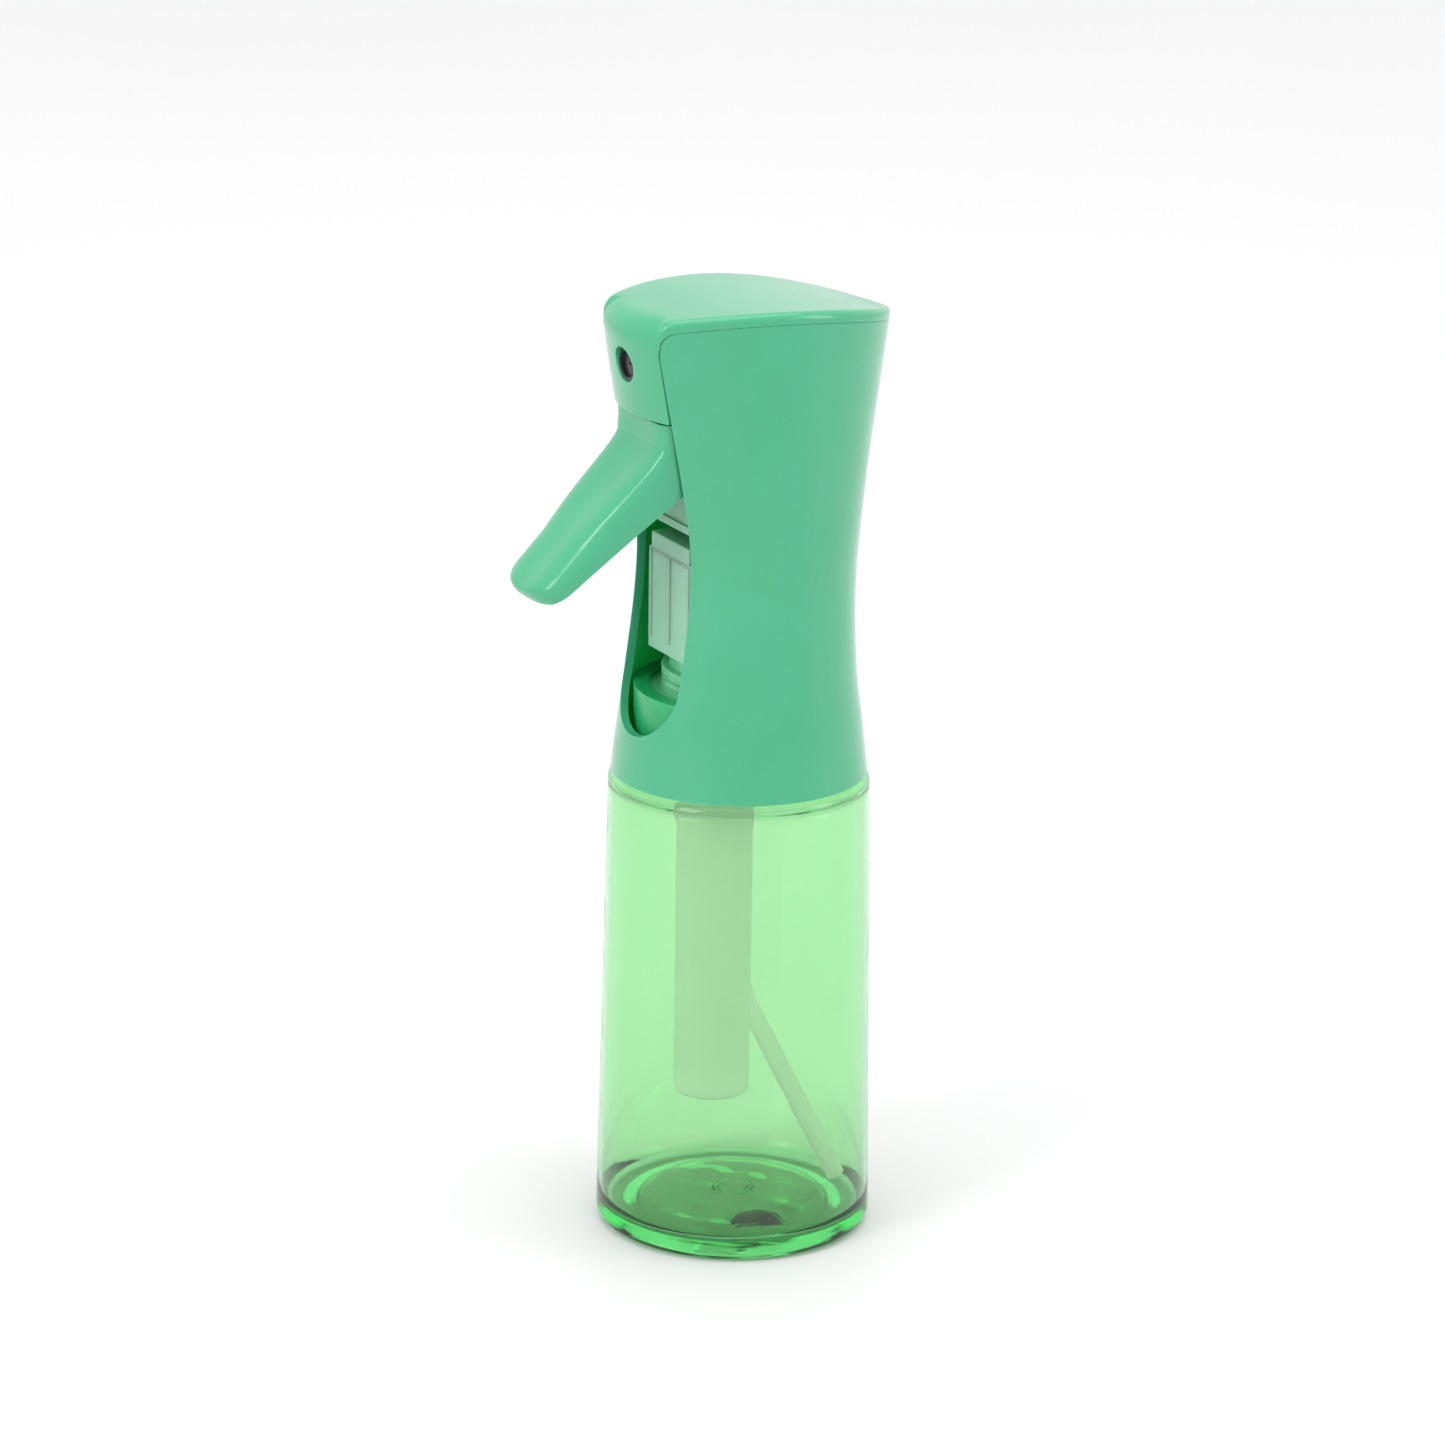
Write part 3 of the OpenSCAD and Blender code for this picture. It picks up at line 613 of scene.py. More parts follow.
class HeadShape:
    """The surfaces that the casing and its cover share."""

    def __init__(self, size: HeadSize) -> None:
        """Keeps the sizes.

        Args:
            size: The head's sizes.
        """
        self.size = size
        knots, values = STATIONS[:, 0], STATIONS[:, 1:]
        low = np.maximum(np.arange(len(knots)) - 1, 0)
        high = np.minimum(np.arange(len(knots)) + 1, len(knots) - 1)
        self._slopes = (values[high] - values[low]) / (knots[high] - knots[low])[:, None]

    def along(self, z: np.ndarray, column: int) -> np.ndarray:
        """Reads one column of the stations at height z, on the cubic through the stations.

        Args:
            z: Heights, of any shape.
            column: 0 half-width, 1 rear reach, 2 reach of the window's edge.

        Returns:
            The value at each height.
        """
        knots, values = STATIONS[:, 0], STATIONS[:, 1 + column]
        s = np.clip((z - self.size.low_z) / self.size.height, knots[0], knots[-1])
        i = np.clip(np.searchsorted(knots, s, side="right") - 1, 0, len(knots) - 2)
        h = knots[i + 1] - knots[i]
        t = (s - knots[i]) / h
        slopes = self._slopes[:, column]
        return (
            values[i] * (1 + 2 * t) * (1 - t) ** 2
            + slopes[i] * h * t * (1 - t) ** 2
            + values[i + 1] * t * t * (3 - 2 * t)
            + slopes[i + 1] * h * t * t * (t - 1)
        )

    def arch(self, y: np.ndarray) -> np.ndarray:
        """Height of the top: a round arch across X, z = crown - R + sqrt(R^2 - (y - y0)^2).

        Args:
            y: Where along the head.

        Returns:
            The heights.
        """
        r = self.size.arch_r
        return self.size.peak_z - r + np.sqrt(r * r - (y - self.size.arch_y) ** 2)

    def side(self, z: np.ndarray, u: np.ndarray, edge: np.ndarray, inset: float = 0.0) -> tuple[np.ndarray, ...]:
        """The right-hand wall: two round arcs that meet at the widest point, and a small round at the rear corner.

        u runs from -1 at the front edge over 0 at the widest point to 1 at the rear corner. Each arc's radius is
        (reach^2 + across^2) / (2 across), with its centre on Y = 0.

        Args:
            z: Heights.
            u: Places along the wall.
            edge: X at which the front ends.
            inset: How far inside the outer face.

        Returns:
            X, Y, and the distance along the wall from the front edge.
        """
        w, rear, front = (self.along(z, column) for column in range(3))
        rc = self.size.corner_r
        big = (rear**2 + w**2) / (2 * w)
        corner_y = np.sqrt(np.maximum((big - rc) ** 2 - (big - w) ** 2, 0))
        turn = np.arctan2(corner_y, big - w)
        split = np.minimum(turn, math.radians(84))
        v = np.clip(u, 0, 1)
        a = np.where(v < 0.8, split * v / 0.8, split + (math.pi / 2 - split) * (v - 0.8) / 0.2)
        on_side = a <= turn
        rear_x = np.where(on_side, w - big + (big - inset) * np.cos(a), (rc - inset) * np.cos(a))
        rear_y = np.where(on_side, (big - inset) * np.sin(a), corner_y + (rc - inset) * np.sin(a))
        across = w - self.size.window_half
        bow = (front**2 + across**2) / (2 * across)
        last = np.arccos(np.clip((edge - w + bow) / (bow - inset), -1, 1))
        b = last * np.clip(-u, 0, 1)
        front_x = w - bow + (bow - inset) * np.cos(b)
        front_y = -(bow - inset) * np.sin(b)
        run = np.where(u < 0, bow * (last - b), bow * last + big * a)
        return np.where(u < 0, front_x, rear_x), np.where(u < 0, front_y, rear_y), run

    def panel_front(self, x: np.ndarray, z: np.ndarray) -> np.ndarray:
        """Y of the front panel's leaning round face at X and Z.

        Args:
            x: Across.
            z: Height.

        Returns:
            Y.
        """
        size, lean = self.size, math.radians(self.size.panel_lean)
        axis_y = size.panel_y + size.panel_r
        return axis_y - np.sqrt(size.panel_r**2 - x**2) / math.cos(lean) - math.tan(lean) * (z - size.nozzle_z)

    def seam_drop(self, run: np.ndarray) -> np.ndarray:
        """How far the seam lies below the arch: a round corner beside the panel, then the plate's thickness.

        Args:
            run: Distance along the wall from the panel's edge.

        Returns:
            The drop.
        """
        r = self.size.seam_r
        near = np.clip(run, 0, r)
        return self.size.plate + r - np.sqrt(r * r - (r - near) ** 2)


class Casing:
    """The waisted shroud with its long window."""

    def __init__(self, shape: HeadShape) -> None:
        """Keeps the shape.

        Args:
            shape: The head's shape.
        """
        self.shape = shape

    def _rows(self) -> tuple[np.ndarray, np.ndarray, int]:
        """Row heights below the arch, half-width of the window at each, and the first row of the window.

        Rows in the window's round end are spaced by angle, z = centre - r cos(angle), half-width r sin(angle).

        Returns:
            Heights, half-widths, first row.
        """
        size = self.shape.size
        centre = size.window_low_z + size.window_half
        below = np.linspace(size.low_z, size.window_low_z, 17)[:-1]
        angle = np.linspace(0, math.pi / 2, 30)
        round_z = centre - size.window_half * np.cos(angle)
        round_half = size.window_half * np.sin(angle)
        return (
            np.concatenate([below, round_z]),
            np.concatenate([np.zeros(len(below)), round_half]),
            len(below),
        )

    def build(self, painter: Painter) -> bpy.types.Object:
        """Makes the shroud as a closed shell.

        Args:
            painter: Gives the material.

        Returns:
            The piece.
        """
        size, shape = self.shape.size, self.shape
        low, half, first = self._rows()
        u = np.concatenate([np.linspace(-1, 0, 41)[:-1], np.linspace(0, 1, 61)])
        straight = np.linspace(0, 1, 62)[1:]
        top = np.full(len(u), size.peak_z - 6.0)
        for _ in range(5):
            _, y, run = shape.side(top, u, np.full(len(u), size.window_half))
            top = shape.arch(y) - shape.seam_drop(run) - size.gap
        upper = low[-1] + straight[:, None] * (top - low[-1])[None, :]
        z = np.vstack([np.repeat(low[:, None], len(u), axis=1), upper])
        edge = np.concatenate([half, np.full(len(straight), size.window_half)])[:, None] + 0 * z
        along = np.broadcast_to(u[None, :], z.shape)
        skins = []
        for inset in (0.0, size.wall):
            x, y, _ = shape.side(z, along, edge, inset)
            skins.append(mirrored(np.stack([x, y, z], axis=-1)))
        outer, inner = skins
        made = Surface("shroud_casing")
        made.grid(outer)
        made.grid(inner, inner=True)
        made.grid(np.stack([outer[0], inner[0]]))
        made.grid(np.stack([outer[-1], inner[-1]]))
        for column in (0, -1):
            made.grid(np.stack([outer[first:, column], inner[first:, column]], axis=1))
        # The inner faces take the brighter mint copy: painted light that comes through the wall.
        piece = made.build(painter.material(MINT), inside=painter.material(MINT_INSIDE_PAINTED_LIGHT))
        bevel(piece, 0.36, degrees=55)
        return piece


class Cover:
    """The front panel and the top plate in one moulding."""

    def __init__(self, shape: HeadShape) -> None:
        """Keeps the shape.

        Args:
            shape: The head's shape.
        """
        self.shape = shape
        self.half = shape.size.window_half - shape.size.gap

    @staticmethod
    def _spine(y: np.ndarray) -> np.ndarray:
        """The point of the top's middle line that each point of its outline runs to.

        Args:
            y: Where along the head the outline's point is.

        Returns:
            Y on the middle line.
        """
        return -6.0 + 24.0 * np.clip((y + 20.0) / 48.0, 0, 1)

    def _wall_at(self, z: np.ndarray, kind: np.ndarray, u: np.ndarray, x: np.ndarray) -> np.ndarray:
        """A point on the cover's wall at each column.

        Args:
            z: Height of each column.
            kind: 0 on the panel, 1 on the side.
            u: Place along the side.
            x: Place across the panel.

        Returns:
            X and Y, n by 2.
        """
        side_x, side_y, _ = self.shape.side(z, u, np.full(len(z), self.half))
        panel_y = self.shape.panel_front(x, z)
        edge_y = self.shape.panel_front(np.full(len(z), self.half), z)
        edge_side = self.shape.side(z, np.full(len(z), -1.0), np.full(len(z), self.half))[1]
        slide = np.clip((u + 1.0) / 0.3, 0, 1)
        side_y = side_y + (edge_y - edge_side) * (1 - slide) ** 2
        return np.where(kind[:, None] == 0, np.column_stack([x, panel_y]), np.column_stack([side_x, side_y]))

    def build(self, painter: Painter) -> bpy.types.Object:
        """Makes the cover: skirt, rounded top edge, top plate, and the panel with its nozzle hole.

        The edge is a round of radius r about C = P - r (o cos l - z sin l), where P is where the wall ends, o its
        outward direction and l its lean, from angle -l to the arch's own slope.

        Args:
            painter: Gives the material.

        Returns:
            The piece.
        """
        size, shape = self.shape.size, self.shape
        panel_x = np.linspace(0, self.half, 13)
        side_u = np.concatenate([np.linspace(-1, 0, 34)[1:], np.linspace(0, 1, 55)[1:]])
        kind = np.concatenate([np.zeros(len(panel_x)), np.ones(len(side_u))])
        x = np.concatenate([panel_x, np.full(len(side_u), self.half)])
        u = np.concatenate([np.full(len(panel_x), -1.0), side_u])
        run = shape.side(np.full(len(u), 178.0), u, np.full(len(u), self.half))[2] * kind
        blend = np.clip(run / 7.0, 0, 1)
        blend = blend * blend * (3 - 2 * blend)
        drop = np.where(kind == 0, size.plate + size.seam_r, shape.seam_drop(run))
        r = np.minimum(4.6 + (1.5 - 4.6) * blend, (drop - 0.45) / 1.17)
        z = np.full(len(u), 178.0)
        for _ in range(8):
            wall = self._wall_at(z, kind, u, x)
            back = self._wall_at(z - 1.0, kind, u, x)
            ahead = np.gradient(wall, axis=0)
            ahead[0], ahead[-1] = (1.0, 0.0), (-1.0, 0.0)
            normal = np.column_stack([ahead[:, 1], -ahead[:, 0]])
            normal /= np.linalg.norm(normal, axis=1)[:, None]
            out = wall - np.column_stack([np.zeros(len(z)), self._spine(wall[:, 1])])
            out /= np.linalg.norm(out, axis=1)[:, None]
            lean = np.arctan(((wall - back) * normal).sum(axis=1) / (out * normal).sum(axis=1))
            centre = wall - (r * np.cos(lean))[:, None] * out
            from_arch = centre[:, 1] - size.arch_y
            rise = from_arch / np.sqrt(size.arch_r**2 - from_arch**2) * out[:, 1]
            end = math.pi / 2 - np.arctan(rise)
            tip_y = centre[:, 1] + r * np.cos(end) * out[:, 1]
            z = shape.arch(tip_y) - r * np.sin(end) - r * np.sin(lean)
        beta = -lean + np.linspace(0, 1, 11)[:, None] * (end + lean)
        flat = centre + (r * np.cos(beta))[..., None] * out
        round_edge = np.dstack([flat, (z + r * np.sin(lean)) + r * np.sin(beta)])
        skirt_low = shape.arch(wall[:, 1]) - drop
        levels = skirt_low + np.linspace(0, 1, 5)[:-1, None] * (z - skirt_low)
        skirt = np.stack([np.column_stack([self._wall_at(row, kind, u, x), row]) for row in levels])
        rim = round_edge[-1]
        spine_y = self._spine(rim[:, 1])
        share = np.linspace(0, 1, 18)[1:, None]
        top_x = rim[:, 0] * (1 - share)
        top_y = rim[:, 1] + (spine_y - rim[:, 1]) * share
        top = np.dstack([top_x, top_y, shape.arch(top_y)])
        made = Surface("front_and_top_cover")
        right = np.concatenate([skirt, round_edge, top])
        turned = right[:, ::-1]
        made.grid(np.concatenate([right, turned[:, 1:] * np.array([-1.0, 1.0, 1.0])], axis=1))
        self._add_panel(made, skirt[0, : len(panel_x)])
        piece = made.build(painter.material(MINT), sharp_degrees=40)
        thicken(piece, 1.8)
        bevel(piece, 0.14, segments=2, degrees=55)
        return piece

    def _add_panel(self, made: Surface, top_right: np.ndarray) -> None:
        """Adds the panel around the nozzle hole, as rings between the hole and the panel's outline.

        Args:
            made: The surface to add to.
            top_right: The upper edge from the middle to the right corner.
        """
        size, shape = self.shape.size, self.shape
        top = np.vstack([top_right[::-1] * np.array([-1.0, 1.0, 1.0]), top_right[1:]])[:, [0, 2]]
        down = np.linspace(0, 1, 13)[1:, None]
        right = np.hstack([np.full((12, 1), self.half), top[-1, 1] + (size.panel_low_z - top[-1, 1]) * down])
        bottom = np.column_stack([np.linspace(self.half, -self.half, 25)[1:], np.full(24, size.panel_low_z)])
        climb = size.panel_low_z + (top[0, 1] - size.panel_low_z) * down
        left = np.hstack([np.full((12, 1), -self.half), climb])[:-1]
        outline = np.vstack([top, right, bottom, left])
        middle = np.array([0.0, size.nozzle_z])
        away = outline - middle
        hole = middle + size.nozzle_hole_r * away / np.linalg.norm(away, axis=1)[:, None]
        share = (np.linspace(0, 1, 15) ** 1.2)[:, None, None]
        rings = outline + (hole - outline) * share
        y = shape.panel_front(rings[..., 0], rings[..., 1])
        y[0, : len(top)] = np.concatenate([top_right[::-1, 1], top_right[1:, 1]])
        made.grid(np.dstack([rings[..., 0], y, rings[..., 1]]), wrap_columns=True)


# ---- trigger ----------------------------------------------------------------------------


@dataclass(frozen=True)
class TriggerSize:
    """Sizes of the trigger, in Y and Z for its side view."""

    front: tuple[tuple[float, float], ...] = (
        (-22.6, 163.2),
        (-22.7, 160.0),
        (-24.0, 156.6),
        (-34.9, 146.1),
        (-46.2, 134.6),
    )
    rim: tuple[tuple[float, float], ...] = (
        (-12.2, 163.2),
        (-12.0, 157.0),
        (-14.6, 152.2),
        (-27.6, 142.9),
        (-43.2, 131.4),
    )
    tip_length: float = 2.3
    tip_round: float = 5.5
    root_half: float = 10.25
    tip_half: float = 8.8
    root_power: float = 8.0
    tip_power: float = 3.6
    valley: float = 0.45
    wall: float = 1.9
    pin: tuple[float, float] = (-13.0, 167.1)
    ear_r: float = 3.6
    hole_r: float = 1.32


class Trigger:
    """The hollow lever, a hull that is open at its back, with two ears on the pin."""

    def __init__(self, size: TriggerSize) -> None:
        """Keeps the sizes.

        Args:
            size: The trigger's sizes.
        """
        self.size = size

    def build(self, painter: Painter) -> bpy.types.Object:
        """Makes the trigger.

        Each section is half of a superellipse, |x / a|^n + |d / depth|^n = 1, between the front curve and the rim;
        over the tip its depth shrinks as a half circle does.

        Args:
            painter: Gives the material.

        Returns:
            The piece.
        """
        size = self.size
        front, rim = spaced(size.front, 60), spaced(size.rim, 60)
        step = (front[-1] - front[-3]) / 2 + (rim[-1] - rim[-3]) / 2
        ahead = step / np.linalg.norm(step)
        angle = np.linspace(0, math.pi / 2, 15)[1:, None]
        middle = (front[-1] + rim[-1]) / 2
        spread = (front[-1] - rim[-1]) / 2
        base = middle + ahead * size.tip_length * np.sin(angle)
        front = np.vstack([front, base + spread * np.cos(angle)])
        rim = np.vstack([rim, base - spread * np.cos(angle)])
        share = np.clip((157.0 - front[:, 1]) / 24.0, 0, 1)
        half = size.root_half + (size.tip_half - size.root_half) * share * share * (3 - 2 * share)
        line = (front + rim) / 2
        run = np.concatenate([[0], np.cumsum(np.linalg.norm(np.diff(line, axis=0), axis=1))])
        late = np.clip((run - run[-1] + size.tip_round) / size.tip_round, 0, 1)
        half *= (1 - late**2.3) ** (1 / 2.3)
        power = (size.root_power + (size.tip_power - size.root_power) * np.clip(share * 1.6, 0, 1))[:, None]
        v = np.linspace(0, math.pi, 65)
        v = v - 0.2 * np.sin(4 * v)
        across = np.sign(np.cos(v)) * np.abs(np.cos(v)) ** (2 / power)
        deep = np.abs(np.sin(v)) ** (2 / power)
        deep[:, [0, -1]] = 0.0
        along = np.linspace(0, 1, len(front))
        dip = size.valley * np.exp(-((across / 0.42) ** 2)) * np.clip(np.sin(math.pi * along) * 1.6, 0, 1)[:, None]
        span = front - rim
        depth = np.linalg.norm(span, axis=1)[:, None]
        reach = deep * depth - dip * (deep > 0.9) * np.minimum(depth / 4, 1)
        unit = span / np.maximum(depth, 1e-6)
        x = half[:, None] * across + 0 * depth
        y = rim[:, 0, None] + unit[:, 0, None] * reach
        z = rim[:, 1, None] + unit[:, 1, None] * reach
        made = Surface("trigger_lever")
        made.grid(np.dstack([x, y, z]))
        piece = made.build(painter.material(MINT), sharp_degrees=50)
        thicken(piece, size.wall)
        bevel(piece, 0.35, segments=3, degrees=50)
        return piece

    def build_ears(self, painter: Painter) -> bpy.types.Object:
        """Makes the two ears with their pin holes and the pad that pushes the piston.

        Args:
            painter: Gives the material.

        Returns:
            The piece.
        """
        size = self.size
        pin = np.array(size.pin)
        turn = np.radians(np.linspace(-35, 185, 40))
        crown = pin + size.ear_r * np.column_stack([np.cos(turn), np.sin(turn)])
        foot = np.array(
            [[-17.5, 162.4], [-19.6, 160.5], [-18.6, 154.0], [-14.2, 154.5], [-12.6, 157.5], [-11.0, 163.0]]
        )
        outline = np.vstack([crown, foot])
        away = outline - pin
        hole = pin + size.hole_r * away / np.linalg.norm(away, axis=1)[:, None]
        made = Surface("trigger_ears")
        for low, high in ((8.4, 10.05), (-10.05, -8.4)):
            made.plate(outline, low, high, hole)
        pad = np.array([[-21.8, 157.4], [-21.8, 152.1], [-24.9, 152.3], [-21.9, 158.4]])
        for low, high in ((-3.0, -1.7), (1.7, 3.0), (-1.7, 1.7)):
            made.plate(pad, low, high)
        piece = made.build(painter.material(MINT))
        bevel(piece, 0.25, segments=2)
        return piece


# ---- valve tower ------------------------------------------------------------------------


@dataclass(frozen=True)
class TowerSize:
    """Sizes of the valve tower; its steps are radius and height of the turned foot."""

    top_z: float = 138.1
    block_low_z: float = 115.2
    half_width: float = 8.3
    front_y: float = -15.5
    rear_y: float = 16.2
    shoulder_in: float = 0.9
    shoulder_h: float = 3.0
    rib_low_z: float = 117.6
    rib_half: float = 0.45
    rib_proud: float = 0.28
    rib_from_edge: float = 0.9
    side_ribs: tuple[float, float] = (6.5, 13.5)
    round_over: float = 0.24
    steps: tuple[tuple[float, float], ...] = (
        (0.0, 104.5),
        (17.9, 104.5),
        (17.9, 107.5),
        (15.0, 107.5),
        (15.0, 109.2),
        (14.6, 109.4),
        (14.6, 109.9),
        (15.0, 110.1),
        (15.0, 112.0),
        (13.5, 112.0),
        (13.5, 114.3),
        (13.1, 114.5),
        (13.1, 115.0),
        (13.5, 115.2),
        (13.5, 117.0),
        (0.0, 117.0),
    )


class Tower:
    """The translucent block with its stepped round foot that shows in the window."""

    def __init__(self, size: TowerSize) -> None:
        """Keeps the sizes.

        Args:
            size: The tower's sizes.
        """
        self.size = size

    def _box(self, made: Surface, low: Sequence[float], high: Sequence[float]) -> None:
        """Adds a block to be rounded by the piece's bevel, as four walls in rows and two ends.

        Args:
            made: The surface to add to.
            low: Its lowest corner.
            high: Its highest corner.
        """
        x0, y0, z0 = low
        x1, y1, z1 = high
        loop = np.array([[x0, y0], [x1, y0], [x1, y1], [x0, y1]])
        rows = [np.column_stack([loop, np.full(4, z)]) for z in (z0, z1)]
        made.grid(np.stack(rows), wrap_columns=True)
        made.cap(rows[0])
        made.cap(rows[1])

    def build(self, painter: Painter) -> bpy.types.Object:
        """Makes the tower: turned foot, block with narrowed shoulders, moulded ribs and a centre line.

        Args:
            painter: Gives the material.

        Returns:
            The piece.
        """
        size = self.size
        made = Surface("valve_tower_block")
        a = np.linspace(0, 2 * math.pi, 128, endpoint=False)
        profile = np.array(size.steps)
        ring = profile[:, :1, None] * np.stack([np.cos(a), np.sin(a)], axis=-1)[None]
        height = np.repeat(profile[:, 1:], len(a), axis=1)
        made.grid(np.dstack([ring[..., 0], ring[..., 1], height]), wrap_columns=True, inner=True)
        w, top, shoulder = size.half_width, size.top_z, size.top_z - size.shoulder_h
        self._box(made, (-w, size.front_y, size.block_low_z), (w, size.rear_y, shoulder))
        narrow = w - size.shoulder_in
        self._box(made, (-narrow, size.front_y + 0.02, shoulder - 1), (narrow, size.rear_y - 0.02, top))
        rib, proud, low, high = size.rib_half, size.rib_proud, size.rib_low_z, shoulder - 0.6
        for x in (size.rib_from_edge - w, 0.0, w - size.rib_from_edge):
            self._box(made, (x - rib, size.front_y - proud, low), (x + rib, size.front_y + 0.5, high))
        for y in (size.front_y + step for step in size.side_ribs):
            self._box(made, (-w - proud, y - rib, low), (w + proud, y + rib, high))
        # The block takes the natural finish, whose green tint is painted green light and shade from the casing.
        piece = made.build(painter.material(NATURAL), sharp_degrees=30, inside=painter.material(SHADED_FOOT))
        bevel(piece, size.round_over, segments=3, degrees=35)
        return piece


# ---- springs ----------------------------------------------------------------------------


@dataclass(frozen=True)
class SpringSize:
    """One coil spring: the node that it stands for, its axis, and the joint that shortens it."""

    node: str
    joint: str
    axis: int
    turns: float
    wire: float
    travel: float
    fixed_high: bool


SPRINGS = (
    SpringSize("return_spring", "piston_slide", 1, 5.0, 0.4, 3.9, True),
    SpringSize("accumulator_spring", "accumulator_slide", 2, 13.0, 0.5, 38.0, False),
)


class Spring:
    """A coil of round wire."""

    def __init__(self, size: SpringSize) -> None:
        """Keeps the sizes and reads the spring's box.

        Args:
            size: The spring's sizes.
        """
        self.size = size
        self.low, self.high = (np.array(corner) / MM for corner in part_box(size.node))

    def build(self, painter: Painter) -> bpy.types.Object:
        """Makes the wire: centre (R cos t, R sin t) with height rising evenly, and a round section about it.

        Args:
            painter: Gives the material.

        Returns:
            The piece.
        """
        size = self.size
        axis, first, second = size.axis, (size.axis + 1) % 3, (size.axis + 2) % 3
        middle = (self.low + self.high) / 2
        reach = (self.high - self.low)[first] / 2 - size.wire
        share = np.linspace(0, 1, int(size.turns * 40) + 1)[:, None]
        a = 2 * math.pi * size.turns * share
        b = np.linspace(0, 2 * math.pi, 12, endpoint=False)[None, :]
        out = reach + size.wire * np.cos(b)
        ends = self.low[axis] + size.wire, self.high[axis] - size.wire
        points = np.zeros((len(share), b.shape[1], 3))
        points[..., first] = middle[first] + out * np.cos(a)
        points[..., second] = middle[second] + out * np.sin(a)
        points[..., axis] = ends[0] + (ends[1] - ends[0]) * share + size.wire * np.sin(b)
        made = Surface(size.node + "_coil")
        made.grid(points, wrap_columns=True)
        made.cap(points[0])
        made.cap(points[-1])
        return made.build(painter.material(STEEL))

    def shorten(self, piece: bpy.types.Object) -> None:
        """Works out where the coil's fixed end stays and gives the coil its own copy of its mesh; its length is not
        tied to the joint.

        Args:
            piece: The coil.
        """
        axis = self.size.axis
        anchor = ((self.low + self.high) / 2 * MM).tolist()
        anchor[axis] = float((self.high if self.size.fixed_high else self.low)[axis]) * MM
        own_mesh(piece)


# ---- bottle -----------------------------------------------------------------------------


@dataclass(frozen=True)
class BottleSize:
    """Sizes of the bottle."""

    height: float = 91.0
    heel_radius: float = 26.5
    top_radius: float = 25.0
    wall: float = 0.9
    heel_round: float = 2.5
    shoulder_round: float = 1.8
    neck_radius: float = 15.0
    neck_wall: float = 1.6
    neck_height: float = 12.5
    thread_pitch: float = 4.0
    thread_depth: float = 1.1
    floor_z: float = 5.7
    columns: int = 192


